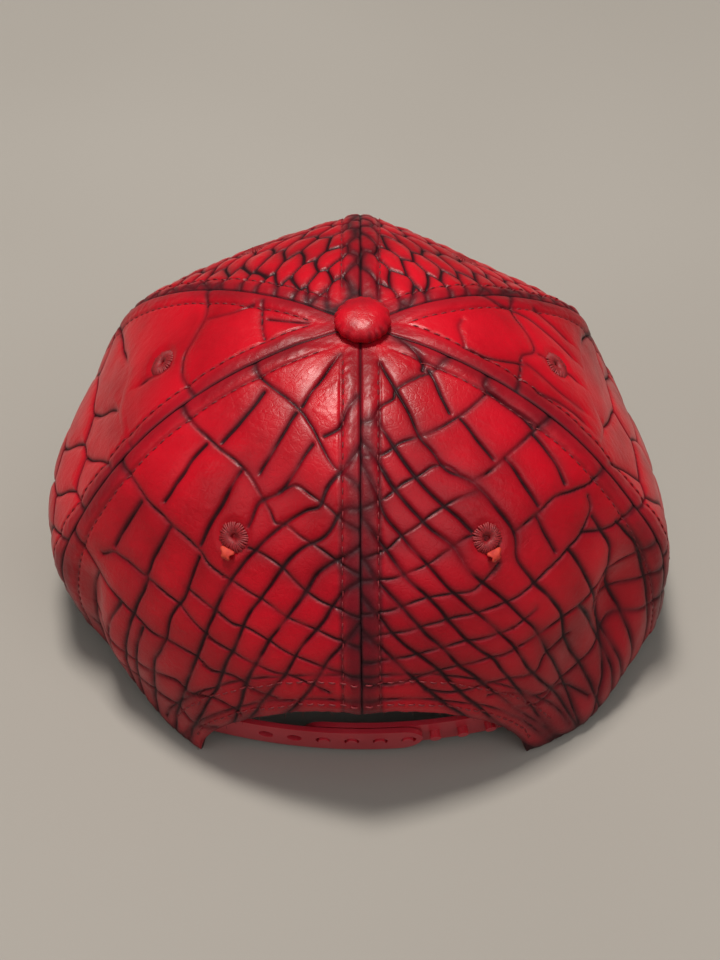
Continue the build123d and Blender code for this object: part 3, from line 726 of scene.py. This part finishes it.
def seam_stitching(panels):
    """Stitch rows beside every seam of the crown."""
    tubes = []
    for outer, normals, angles in panels.values():
        span = (angles[-1] - angles[0]) / (len(angles) - 1)
        rows = np.linspace(22, GRID_DOWN - 4, 240)
        reach = np.array([np.hypot(*outer[int(r), len(angles) // 2, :2]) for r in rows])
        shift = np.degrees(STITCH_OFFSET / reach) / span
        keep = shift < len(angles) / 2 - 6
        for columns in (shift, len(angles) - 1 - shift):
            line, out = row_on_panel(outer, normals, columns[keep], rows[keep])
            tubes += stitches(line, out, lift=-0.02, radius=0.2)
    return tubes


def arch_stitching(panels):
    """Two stitch rows round the rear arch, over both rear panels."""
    tubes = []
    for side in SIDES:
        outer, normals, angles = panels[("back", side)]
        edge = outer[-1, angles > ARCH_CORNER]
        for offset in ARCH_ROWS:
            columns, rows = [], []
            for k in range(2, len(angles) - 1):
                gap = distance_to_line(outer[:, k], edge[::6])
                inside = np.nonzero(gap < offset)[0]
                if len(inside) and inside[0] > 4:
                    columns.append(k)
                    rows.append(inside[0])
            rows = np.convolve(np.pad(rows, 4, mode="edge"), np.ones(9) / 9, mode="valid")
            line, out = row_on_panel(outer, normals, columns, rows)
            tubes += stitches(line, out)
    return tubes


# --- materials ----------------------------------------------------------------------------------
def new_material(name, roughness, metallic=0.0, coat=0.0, coat_roughness=0.3, sheen=0.0, specular=0.5):
    """Node material, its node tree and its shader, with the shader's constants set."""
    material = bpy.data.materials.new(name)
    material.use_nodes = True
    tree = material.node_tree
    shader = tree.nodes["Principled BSDF"]
    shader.inputs["Roughness"].default_value = roughness
    shader.inputs["Metallic"].default_value = metallic
    shader.inputs["Coat Weight"].default_value = coat
    shader.inputs["Coat Roughness"].default_value = coat_roughness
    shader.inputs["Sheen Weight"].default_value = sheen
    shader.inputs["Specular IOR Level"].default_value = specular
    return material, tree, shader


def add_node(tree, kind, values=None, links=None, **settings):
    """Node with settings, input values and input links."""
    node = tree.nodes.new(kind)
    for name, value in settings.items():
        setattr(node, name, value)
    for name, value in (values or {}).items():
        node.inputs[name].default_value = value
    for name, socket in (links or {}).items():
        tree.links.new(socket, node.inputs[name])
    return node


def add_ramp(tree, socket, stops):
    """Colour ramp driven by a socket, from places and colours."""
    ramp = add_node(tree, "ShaderNodeValToRGB", links={"Fac": socket})
    elements = ramp.color_ramp.elements
    for place, colour in stops[1:-1]:
        elements.new(place).color = (*colour, 1)
    elements[0].position, elements[0].color = stops[0][0], (*stops[0][1], 1)
    elements[-1].position, elements[-1].color = stops[-1][0], (*stops[-1][1], 1)
    return ramp


def object_noise(tree, scale, detail=4.0, rough=0.55):
    """Noise fixed to the object's own coordinates."""
    place = add_node(tree, "ShaderNodeTexCoord")
    return add_node(tree, "ShaderNodeTexNoise", {"Scale": scale, "Detail": detail, "Roughness": rough},
                    {"Vector": place.outputs["Object"]})


def add_bump(tree, shader, height, strength, distance):
    """Bump from a height socket on the shader's normal."""
    bump = add_node(tree, "ShaderNodeBump", {"Strength": strength, "Distance": distance}, {"Height": height})
    tree.links.new(bump.outputs["Normal"], shader.inputs["Normal"])


def leather_material():
    """Glazed red embossed leather, darkened with painted shade by the groove value, with pale suede on the
    flesh side.
    """
    material, tree, shader = new_material("red_embossed_leather", 0.36, coat=0.08, coat_roughness=0.22,
                                          specular=0.22)
    groove = add_node(tree, "ShaderNodeAttribute", attribute_name="groove")
    # Red to near black as the groove value rises: painted shade in and beside the grooves, in the stitch rows
    # and towards the rim, with the seams' own dark and random tone.
    base = add_ramp(tree, groove.outputs["Fac"], (
        (0.0, (0.52, 0.002, 0.012)), (0.2, (0.38, 0.002, 0.011)), (0.45, (0.17, 0.002, 0.009)),
        (0.75, (0.045, 0.0012, 0.005)), (1.0, (0.012, 0.0008, 0.003))))
    patches = object_noise(tree, 38, 5.0)
    tint = add_ramp(tree, patches.outputs["Fac"], (
        (0.3, (0.62, 0.55, 0.6)), (0.55, (1.0, 1.0, 1.0)), (0.75, (1.16, 1.25, 1.2))))
    mixed = add_node(tree, "ShaderNodeMix", data_type="RGBA", blend_type="MULTIPLY")
    mixed.inputs[0].default_value = 1.0
    tree.links.new(base.outputs["Color"], mixed.inputs[6])
    tree.links.new(tint.outputs["Color"], mixed.inputs[7])
    flesh = add_node(tree, "ShaderNodeMath", {1: 1.5}, {0: groove.outputs["Fac"]}, operation="GREATER_THAN")
    suede = add_ramp(tree, object_noise(tree, 900).outputs["Fac"], (
        (0.3, (0.16, 0.055, 0.045)), (0.7, (0.27, 0.10, 0.08))))
    final = add_node(tree, "ShaderNodeMix", data_type="RGBA")
    tree.links.new(flesh.outputs[0], final.inputs[0])
    tree.links.new(mixed.outputs[2], final.inputs[6])
    tree.links.new(suede.outputs["Color"], final.inputs[7])
    tree.links.new(final.outputs[2], shader.inputs["Base Color"])
    gloss = add_ramp(tree, object_noise(tree, 120, 6.0).outputs["Fac"], (
        (0.3, (0.28, 0.28, 0.28)), (0.7, (0.42, 0.42, 0.42))))
    rough = add_node(tree, "ShaderNodeMath", {1: 0.3}, {0: groove.outputs["Fac"], 2: gloss.outputs["Color"]},
                     operation="MULTIPLY_ADD")
    tree.links.new(rough.outputs[0], shader.inputs["Roughness"])
    pores = object_noise(tree, 1500, 5.0, 0.65)
    creases = add_node(tree, "ShaderNodeTexVoronoi", {"Scale": 520.0, "Randomness": 1.0},
                       {"Vector": add_node(tree, "ShaderNodeTexCoord").outputs["Object"]},
                       feature="DISTANCE_TO_EDGE")
    crackle = add_ramp(tree, creases.outputs["Distance"], ((0.0, (0, 0, 0)), (0.12, (1, 1, 1))))
    relief_height = add_node(tree, "ShaderNodeMath", {1: 0.35},
                             {0: crackle.outputs["Color"], 2: pores.outputs["Fac"]}, operation="MULTIPLY_ADD")
    add_bump(tree, shader, relief_height.outputs[0], 0.25, 0.0003)
    return material


def plain_material(name, low, high, scale, roughness, bump=0.2, depth=0.0003, **finish):
    """Material whose colour wanders between two shades, with matching fine relief."""
    material, tree, shader = new_material(name, roughness, **finish)
    grain = object_noise(tree, scale)
    colour = add_ramp(tree, grain.outputs["Fac"], ((0.3, low), (0.7, high)))
    tree.links.new(colour.outputs["Color"], shader.inputs["Base Color"])
    add_bump(tree, shader, grain.outputs["Fac"], bump, depth)
    return material


def woven_material(name, low, high, pitch, roughness=0.85, sheen=0.2):
    """Plain weave: two crossed waves of thread, with painted shade between them."""
    material, tree, shader = new_material(name, roughness, sheen=sheen)
    place = add_node(tree, "ShaderNodeTexCoord")
    waves = []
    for axis in ("X", "Z"):
        wave = add_node(tree, "ShaderNodeTexWave", {"Scale": 0.31 / pitch, "Distortion": 1.2, "Detail": 1.0},
                        {"Vector": place.outputs["Object"]}, bands_direction=axis)
        waves.append(wave.outputs["Fac"])
    weave = add_node(tree, "ShaderNodeMath", links={0: waves[0], 1: waves[1]}, operation="MULTIPLY")
    # Dark where the waves part: painted shade between the threads.
    colour = add_ramp(tree, weave.outputs[0], ((0.0, low), (0.6, high)))
    tree.links.new(colour.outputs["Color"], shader.inputs["Base Color"])
    add_bump(tree, shader, weave.outputs[0], 0.5, pitch * 0.35)
    return material


def strap_material():
    """Translucent pink-red plastic of the snap strap."""
    material, tree, shader = new_material("strap_plastic", 0.28, specular=0.5)
    grain = object_noise(tree, 60)
    colour = add_ramp(tree, grain.outputs["Fac"], ((0.3, (0.46, 0.016, 0.032)), (0.7, (0.56, 0.036, 0.054))))
    tree.links.new(colour.outputs["Color"], shader.inputs["Base Color"])
    shader.inputs["Subsurface Weight"].default_value = 0.35
    shader.inputs["Subsurface Radius"].default_value = (0.004, 0.001, 0.001)
    shader.inputs["Subsurface Scale"].default_value = 0.6
    add_bump(tree, shader, object_noise(tree, 350, 2.0).outputs["Fac"], 0.08, 0.0002)
    return material


MATERIALS = {
    "leather": leather_material(),
    "thread": plain_material("red_thread", (0.10, 0.002, 0.006), (0.24, 0.006, 0.012), 2600, 0.6),
    "dark_thread": plain_material("dark_thread", (0.03, 0.03, 0.032), (0.07, 0.07, 0.075), 2600, 0.6),
    "suede": plain_material("facing_suede", (0.14, 0.03, 0.03), (0.24, 0.06, 0.055), 1300, 0.9, 0.4,
                            sheen=0.3),
    "embroidery": plain_material("eyelet_thread", (0.16, 0.003, 0.007), (0.34, 0.008, 0.014), 1800, 0.55),
    "torn": plain_material("torn_flap", (0.42, 0.012, 0.008), (0.62, 0.05, 0.02), 700, 0.7),
    "strap": strap_material(),
    "tape": woven_material("seam_tape", (0.012, 0.012, 0.014), (0.045, 0.045, 0.05), 0.0006),
    "buckram": woven_material("buckram", (0.55, 0.53, 0.48), (0.80, 0.78, 0.72), 0.0011),
    "band": woven_material("sweatband_cloth", (0.014, 0.014, 0.016), (0.05, 0.05, 0.055), 0.0005, sheen=0.4),
    "foam": plain_material("foam", (0.05, 0.05, 0.055), (0.10, 0.10, 0.11), 1600, 0.95, 0.4, 0.0004),
    "pad": plain_material("pad_foam", (0.028, 0.03, 0.034), (0.07, 0.072, 0.08), 1500, 0.95, 0.45, 0.0004),
    "steel": plain_material("steel", (0.45, 0.44, 0.42), (0.62, 0.61, 0.59), 400, 0.32, 0.1, metallic=1.0),
    "board": plain_material("board_plastic", (0.7, 0.68, 0.62), (0.8, 0.78, 0.73), 90, 0.5, 0.1),
    "insert": plain_material("insert_plastic", (0.017, 0.018, 0.02), (0.03, 0.031, 0.034), 700, 0.45, 0.25),
    "trim": plain_material("trim_rubber", (0.012, 0.012, 0.013), (0.024, 0.024, 0.026), 300, 0.62, 0.15),
}


CAD_MATERIALS = {
    "strap_hole_half": "strap", "strap_stud_half": "strap",
    "strap_tab_left": "strap", "strap_tab_right": "strap",
    "button_shell": "steel", "button_rivet": "steel",
    "visor_board": "board", "insert_shell": "insert", "insert_edge_trim": "trim",
}


def dress_cad(name, material):
    """Material on a CAD node that stays visible."""
    thing = bpy.data.objects[name]
    for slot in thing.material_slots:
        slot.material = material


# --- stage -------------------------------------------------------------------------------------------
def build_stage():
    """Plain matt floor, just under the cap."""
    half = FLOOR_HALF_WIDTH
    floor_mesh = bpy.data.meshes.new("floor")
    floor_mesh.from_pydata([(-half, -half, 0), (half, -half, 0), (half, half, 0), (-half, half, 0)], [],
                           [(0, 1, 2, 3)])
    floor = bpy.data.objects.new("floor", floor_mesh)
    bpy.context.scene.collection.objects.link(floor)
    floor.location.z = -0.0004
    material, tree, shader = new_material("floor_paper", 0.9)
    tone = add_ramp(tree, object_noise(tree, 3, 2.0).outputs["Fac"], (
        (0.3, (0.33, 0.305, 0.275)), (0.7, (0.36, 0.335, 0.305))))
    tree.links.new(tone.outputs["Color"], shader.inputs["Base Color"])
    floor.data.materials.append(material)


def add_light(name, place, size, power, colour=(1, 1, 1)):
    """Square area light at a place in metres, aimed at the cap."""
    data = bpy.data.lights.new(name, "AREA")
    data.size, data.energy, data.color = size, power, colour
    lamp = bpy.data.objects.new(name, data)
    lamp.location = place
    lamp.rotation_euler = (Vector((0, 0.03, 0.05)) - lamp.location).to_track_quat("-Z", "Y").to_euler()
    bpy.context.scene.collection.objects.link(lamp)


def add_sky():
    """Broad soft light from above, a little from the visor side, with a dim warm surround."""
    data = bpy.data.lights.new("sky", "SUN")
    data.energy, data.angle = 0.55, math.radians(60)
    lamp = bpy.data.objects.new("sky", data)
    lamp.rotation_euler = (math.radians(-28), math.radians(-12), 0)
    bpy.context.scene.collection.objects.link(lamp)
    world = bpy.data.worlds.new("surround")
    world.use_nodes = True
    background = world.node_tree.nodes["Background"]
    background.inputs["Color"].default_value = (*WARM, 1)
    background.inputs["Strength"].default_value = 0.14
    bpy.context.scene.world = world


def build_lights():
    """Small key high over the button, two wide fills, and the sky."""
    add_light("key", (0.10, -0.12, 1.4), 0.30, 18, WARM)
    add_light("fill", (1.1, 0.8, 0.9), 0.8, 2.5)
    add_light("back_fill", (-0.9, 1.0, 0.9), 0.8, 2.5)
    add_sky()
    bpy.context.scene.view_settings.view_transform = "Standard"


def build_camera():
    """Camera behind and above the cap, placed in the crown's own frame."""
    rise = math.radians(VIEW_ELEVATION)
    target = Vector(VIEW_CENTRE)
    eye = target + VIEW_DISTANCE * Vector((0, math.cos(rise), math.sin(rise)))
    eye_row, target_row = CROWN @ eye, CROWN @ target
    data = bpy.data.cameras.new("camera")
    data.lens, data.sensor_width, data.sensor_fit = LENS, SENSOR, "AUTO"
    camera = bpy.data.objects.new("camera", data)
    camera.location = eye_row
    camera.rotation_euler = (target_row - eye_row).to_track_quat("-Z", "Y").to_euler()
    bpy.context.scene.collection.objects.link(camera)
    bpy.context.scene.camera = camera


# --- button and eyelets --------------------------------------------------------------------------------
def polar_grid(radii, heights, turns):
    """Points of a turned shape: one ring per radius and height."""
    angle = np.linspace(0, 2 * math.pi, turns, endpoint=False)
    radii, heights = np.asarray(radii)[:, None], np.asarray(heights)[:, None]
    return np.stack([radii * np.cos(angle), radii * np.sin(angle), heights + 0 * radii * angle], -1)


def build_button():
    """Leather-covered button with the gathers of its hidden hem."""
    base = CROWN_HEIGHT + 0.2
    turns = 120
    arc = np.linspace(0, math.pi / 2, 30)[:-1]
    radii = np.concatenate([(6.3, 7.0, 7.5), BUTTON_RADIUS * np.cos(arc) ** 0.72])
    heights = np.concatenate([(0, 0.35, 0.9), 1.6 + (BUTTON_HEIGHT - 2.0) * np.sin(arc) ** 0.85])
    grid = polar_grid(radii, base + heights, turns)
    around = np.linspace(0, 2 * math.pi, turns, endpoint=False)[None, :]
    share = (radii / BUTTON_RADIUS)[:, None]
    gather = 0.16 * np.sin(BUTTON_GATHERS * around + 2.1 * np.sin(3 * around)) * smooth_step(0.72, 1.0, share)
    wrinkle = 0.13 * fractal(grid, 4.0, 71)
    direction = grid - np.array((0, 0, base + 1))
    direction /= np.linalg.norm(direction, axis=-1, keepdims=True)
    grid = grid + direction * (gather + wrinkle)[..., None]
    thing = new_object("button_leather", to_row(grid.reshape(-1, 3)), ring_faces(*grid.shape[:2]))
    orient_out(thing)
    # Colour value: painted shade in the creases where the gathers and wrinkles sink in, over a little random
    # tone.
    groove = np.clip(0.08 + 0.12 * fractal(grid, 5.0, 73) + 0.9 * np.clip(-gather - wrinkle, 0, 1), 0, 0.7)
    mark_groove_shade(thing, groove)
    finish_piece(thing, "crown", MATERIALS["leather"], ("button_cover",))


def build_eyelet(name, side):
    """Embroidered eyelet: satin stitches packed round a small hole, outside and inside."""
    centre, normal, up = eyelet_place(name, side)
    up = up - normal * (up @ normal)
    up /= np.linalg.norm(up)
    across = np.cross(up, normal)
    draw = np.random.default_rng(90 + int(centre[0]))
    tubes = []
    for i in range(EYELET_STITCHES):
        turn = 2 * math.pi * (i + draw.uniform(-0.2, 0.2)) / EYELET_STITCHES
        ray = math.cos(turn) * across + math.sin(turn) * up
        reach = EYELET_RADIUS + draw.uniform(-0.25, 0.25)
        radii = np.array((EYELET_BORE - 0.1, EYELET_BORE + 0.25, 2.2, 3.2, reach - 0.3, reach))
        rise = np.array((-1.1, 0.1, 0.52, 0.45, 0.1, -0.6))
        line = centre + radii[:, None] * ray + rise[:, None] * normal
        tubes.append((line, np.full(6, 0.33)))
    loop = np.linspace(0, 2 * math.pi, 40, endpoint=False)
    for depth, middle, thickness in ((-0.35, 2.75, 0.95), (-1.75, 2.7, 0.7)):
        turn = np.cos(loop)[:, None] * across + np.sin(loop)[:, None] * up
        ring = centre + depth * normal + middle * turn
        tubes.append((np.vstack([ring, ring[:1]]), np.full(41, thickness)))
    place = f"{name}_{SIDES[side]}"
    joined_tubes(f"stitched_eyelet_{place}", tubes, "embroidery", (f"eyelet_{place}",), 7)
    if name == "back":
        build_flap(centre, normal, up, across, side)


def build_flap(centre, normal, up, across, side):
    """Tongue of torn leather left hanging under a rear eyelet."""
    rows, columns = 9, 6
    outer, inner = np.zeros((rows, columns, 3)), np.zeros((rows, columns, 3))
    for i, along in enumerate(np.linspace(0, 1, rows)):
        for j, over in enumerate(np.linspace(-1, 1, columns)):
            half = 1.9 * (1 - 0.6 * along ** 1.6) + 0.35 * math.sin(9 * along)
            point = centre - up * (3.4 + 2.9 * along) + across * (over * half + 0.5 * side * along)
            lift = 0.75 + 0.9 * math.sin(math.pi * along * 0.8) + 0.15 * over * over
            outer[i, j] = point + normal * (lift + 0.3)
            inner[i, j] = point + normal * (lift - 0.25)
    thing = closed_sheet(f"eyelet_flap_{SIDES[side]}", outer, inner, 1)
    finish_piece(thing, "crown", MATERIALS["torn"])


# --- linings --------------------------------------------------------------------------------------------
def wall_points(angles, drops, inset):
    """Crown wall points for angles that may run over several panels."""
    angles, drops = np.broadcast_arrays(angles, drops)
    away = np.abs(angles)
    points = np.zeros(angles.shape + (3,))
    for panel in range(3):
        held = (away >= SEAM_ANGLES[panel]) & (away <= SEAM_ANGLES[panel + 1])
        points = np.where(held[..., None], crown_surface(angles, drops, inset, panel), points)
    return points


def drop_for_height(angles, height, inset):
    """Share of the way down at which the wall has a height."""
    power = 2 / np.interp(np.abs(angles), SEAM_ANGLES, SEAM_EXPONENTS)
    return 2 / math.pi * np.arccos(np.clip(height / (CROWN_HEIGHT - inset), 0, 1) ** (1 / power))


def lining(name, angles, drops, insets, material, node, ripple=0.0, seed=3):
    """Thin soft layer inside the crown, following every dent of the leather outside it."""
    outer = handled(wall_points(angles, drops, insets[0]))
    inner = handled(wall_points(angles, drops, insets[1]))
    wave = ripple * (0.5 + 0.5 * fractal(inner, 16, seed))
    inner = inner - crown_normals(inner) * wave[..., None]
    thing = closed_sheet(name, outer, inner, 1)
    return finish_piece(thing, "crown", MATERIALS[material], (node,)), inner


def build_tapes():
    """Cloth tapes over the inside of the seams; gives the thread that sews them on."""
    thread = []
    for name, angle in TAPE_ANGLES.items():
        drops = np.linspace(TAPE_TOP, BACK_TAPE_BOTTOM if name == "back" else TAPE_BOTTOM, 70)[:, None]
        middle = wall_points(angle + 0 * drops, drops, SEAM_TAPE[0])
        reach = np.hypot(middle[..., 0], middle[..., 1])
        angles = angle + np.degrees(np.linspace(-TAPE_HALF_WIDTH, TAPE_HALF_WIDTH, 17)[None, :] / reach)
        if name == "back":
            angles = np.where(angles > 180, angles - 360, angles)
        _, inner = lining(f"tape_{name}", angles, drops, SEAM_TAPE, "tape", f"seam_tape_{name}",
                          0.15, 11)
        normals = -crown_normals(inner)
        for column in (3, 13):
            thread += stitches(inner[3:-2, column], normals[3:-2, column])
    return thread


def build_stiffener(side):
    """Buckram behind one front panel."""
    drops = np.linspace(*STIFFENER_DROPS, 60)[:, None]
    angles = side * np.linspace(*STIFFENER_ANGLES, 50)[None, :]
    lining(f"stiffener_{SIDES[side]}", angles, drops, STIFFENER, "buckram",
           f"buckram_{SIDES[side]}")


def build_facing(side):
    """Suede strip behind the edge of the rear arch."""
    angles = np.linspace(*FACING_ANGLES, 90)
    top = lowest_drop(angles, side, FACING_WIDTH)
    bottom = lowest_drop(angles, side, FACING_EDGE)
    drops = top + (bottom - top) * np.linspace(0, 1, 14)[:, None]
    lining(f"facing_{SIDES[side]}", side * angles[None, :], drops, STIFFENER, "suede",
           f"arch_facing_{SIDES[side]}")


def build_sweatband():
    """Cloth band round the head opening; gives the thread of its two stitch rows."""
    angles = np.linspace(-SWEATBAND_END, SWEATBAND_END, 420)[None, :]
    share = np.linspace(0, 1, 26)[:, None]
    drops = drop_for_height(angles, SWEATBAND_TOP - SWEATBAND_TALL * share, SWEATBAND[0])
    band, inner = lining("sweatband_cloth", angles, drops, SWEATBAND, "band", "sweatband",
                         0.1, 19)
    normals = -crown_normals(inner)
    return stitches(inner[22], normals[22]) + stitches(inner[3], normals[3])


def build_sweatband_foam():
    """Forehead pad behind the sweatband, thickest in the middle."""
    angles = np.linspace(-FOAM_END, FOAM_END, 130)[None, :]
    share = np.linspace(0, 1, 24)[:, None]
    drops = drop_for_height(angles, FOAM_TOP - FOAM_TALL * share, FOAM_INSET)
    edge = 1 - np.maximum(np.abs(2 * share - 1) ** 6, np.abs(angles / FOAM_END) ** 24)
    outer = handled(wall_points(angles, drops, FOAM_INSET))
    inner = handled(wall_points(angles, drops, FOAM_INSET + 0.05))
    inner = inner - crown_normals(inner) * (FOAM_THICK * np.sqrt(np.clip(edge, 0, 1)))[..., None]
    foam = closed_sheet("sweatband_foam_pad", outer, inner, 1)
    finish_piece(foam, "crown", MATERIALS["foam"], ("sweatband_foam",))


def build_linings():
    """Seam tapes, front stiffening, arch facings, sweatband, their thread and the forehead foam."""
    thread = build_tapes()
    for side in SIDES:
        build_stiffener(side)
        build_facing(side)
    thread += build_sweatband()
    joined_tubes("lining_stitching", thread, "dark_thread", sides=5)
    build_sweatband_foam()


# --- visor ----------------------------------------------------------------------------------------------
def visor_grid(depth, edge_fall):
    """Points of the visor at a depth below its upper surface; the outer edge may turn up or down."""
    share = np.linspace(-0.97, 0.97, VISOR_COLUMNS + 1)[None, :]
    reach = np.linspace(0, 1, VISOR_ROWS + 1)[:, None] ** 0.9
    turn = share * math.pi / 2
    edge_x = VISOR_HALF_WIDTH * np.sign(share) * np.abs(np.sin(turn)) ** (2 / VISOR_OUTLINE)
    edge_y = VISOR_SIDE_Y - VISOR_LENGTH * np.cos(turn) ** (2 / VISOR_OUTLINE)
    root = share * VISOR_ROOT_END
    middle = SEAM_ANGLES[1] / 2
    angle = np.radians(root)
    rim = 1 / np.hypot(np.sin(angle) / (RIM_HALF_WIDTH - 3), np.cos(angle) / (RIM_FRONT - 3))
    chord = math.cos(math.radians(middle)) / np.cos(np.radians(np.abs(root) - middle))
    rim = rim * (1 - RIM_FLATNESS * (1 - np.where(np.abs(root) < SEAM_ANGLES[1], chord, 1.0)))
    root_x, root_y = rim * np.sin(angle), -rim * np.cos(angle)
    x = root_x + (edge_x - root_x) * reach
    y = root_y + (edge_y - root_y) * reach
    from_edge = np.hypot(edge_x - root_x, edge_y - root_y) * (1 - reach)
    z = -1.0 - VISOR_SLOPE * (-y - RIM_FRONT) - x * x / VISOR_CURVE - depth - edge_fall * bell(from_edge, 0.9)
    return np.stack([x, y, z], -1), from_edge


def visor_scales(points):
    """Distance to the grooves of the visor's scales."""
    across = points[..., 0] + 2.5 * fractal(points, 30, 61)
    along = points[..., 1] + 2.5 * fractal(points, 30, 67)
    return cell_field(across + 400, along + 400, *VISOR_CELL, 9)


def visor_cover(name, near, far, node, upwards, edge_fall):
    """Leather cover on one face of the visor's board."""
    outer, from_edge = visor_grid(near, edge_fall)
    inner, _ = visor_grid(far, edge_fall * 0.6)
    gap = visor_scales(outer)
    # One value both cuts the grooves and darkens them with painted shade.
    groove = bell(gap, GROOVE_WIDTH)
    edge = smooth_step(0.5, 3.0, from_edge)
    height = (0.4 * (1 - np.exp(-gap / 2.0)) - 0.35 * groove) * edge
    height -= 0.2 * (np.abs((from_edge - 6) / 8 % 1 - 0.5) > 0.47) * edge
    outer = outer + upwards * height[..., None] * np.array((0, -0.35, 0.94))
    thing = closed_sheet(name, outer, inner, 3)
    mark_groove_shade(thing, groove)
    finish_piece(thing, "crown", MATERIALS["leather"], (node,))
    return outer, from_edge


def build_visor():
    """Both covers of the visor and the stitch rows that quilt them to the board."""
    top, from_edge = visor_cover("visor_leather_top", 0.0, 1.0, "visor_top_cover", 1, 1.2)
    under, _ = visor_cover("visor_leather_under", VISOR_UNDER, VISOR_UNDER - 1, "visor_under_cover", -1, -1.2)
    tubes = []
    for offset in VISOR_STITCH_ROWS:
        for outer, up in ((top, 1), (under, -1)):
            line, out = [], []
            for column in range(4, VISOR_COLUMNS - 3, 2):
                gaps = from_edge[:, column]
                if gaps[2] > offset:
                    line.append([np.interp(offset, gaps[::-1], outer[::-1, column, k]) for k in range(3)])
                    out.append((0, -0.35 * up, 0.94 * up))
            if len(line) > 8:
                tubes += stitches(np.array(line), np.array(out, float), 3.6, 2.7)
    joined_tubes("visor_stitching", tubes, "thread", sides=5)


# --- insert pads ----------------------------------------------------------------------------------------
def vertex_values(thing, name):
    """Three values of every vertex as an array."""
    values = np.zeros(len(thing.data.vertices) * 3)
    thing.data.vertices.foreach_get(name, values)
    return values.reshape(-1, 3)


def build_pad(node):
    """Soft foam pad made from its CAD node's shape, its edges rounded and its faces a little uneven."""
    thing = bpy.data.objects.new(f"{node}_foam", bpy.data.objects[node].data.copy())
    bpy.context.scene.collection.objects.link(thing)
    remesh = thing.modifiers.new("remesh", "REMESH")
    remesh.mode, remesh.voxel_size = "VOXEL", PAD_VOXEL
    smooth = thing.modifiers.new("smooth", "SMOOTH")
    smooth.factor, smooth.iterations = 0.5, 9
    bake_modifiers(thing)
    places, normals = vertex_values(thing, "co"), vertex_values(thing, "normal")
    if "spacer" in node:
        places = follow_leather(places)
    dimple = 0.00022 * fractal(places / MM, 9, 83) - 0.00005
    places = places + normals * dimple[:, None]
    thing.data.vertices.foreach_set("co", places.reshape(-1))
    thing.data.polygons.foreach_set("use_smooth", np.ones(len(thing.data.polygons), bool))
    finish_piece(thing, "insert", MATERIALS["pad"], (node,))


def follow_leather(places):
    """Spacer points moved with the handled leather at their outer face, and not at all at the shell."""
    matrix = np.array(CROWN)
    local = (places - matrix[:3, 3]) @ np.linalg.inv(matrix[:3, :3]).T
    out = np.hypot(local[:, 0], local[:, 1])
    share = smooth_step(out.min(), out.max(), out)[:, None]
    return to_row(local + (handled(local) - local) * share)


def bake_modifiers(thing):
    """Result of a piece's modifiers written into its own mesh."""
    view = bpy.context.evaluated_depsgraph_get()
    mesh = bpy.data.meshes.new_from_object(thing.evaluated_get(view))
    thing.modifiers.clear()
    thing.data = mesh


# --- frayed edge ------------------------------------------------------------------------
def build_fray(panels):
    """Fine fibres that stand out of the raw rim and arch edge."""
    draw = np.random.default_rng(17)
    tubes = []
    for outer, normals, _ in panels.values():
        for column in range(5, outer.shape[1] - 5, 7):
            if draw.uniform() < 0.45:
                continue
            start = outer[-1, column] - 0.3 * normals[-1, column]
            down = outer[-1, column] - outer[-6, column]
            down /= np.linalg.norm(down)
            length = draw.uniform(0.8, 2.4)
            sway = draw.normal(0, 0.6, 3)
            share = np.linspace(0, 1, 5)[:, None]
            line = start + down * length * share + sway * length * 0.5 * share ** 2
            line[:, 2] = np.maximum(line[:, 2], -0.9)
            tubes.append((line, np.array((0.09, 0.08, 0.07, 0.05, 0.03))))
    joined_tubes("frayed_fibres", tubes, "thread", sides=4)


# --- all of it ----------------------------------------------------------------------------------------------
build_stage()
build_lights()
build_camera()
PANELS = {}
for kind in KINDS:
    for side in SIDES:
        PANELS[(kind, side)] = leather_panel(kind, side)
        build_eyelet(kind, side)
joined_tubes("seam_stitching", seam_stitching(PANELS), "thread")
joined_tubes("arch_stitching", arch_stitching(PANELS), "thread")
build_button()
build_linings()
build_visor()
for node in PAD_NODES:
    build_pad(node)
build_fray(PANELS)
for node, material in CAD_MATERIALS.items():
    dress_cad(node, MATERIALS[material])
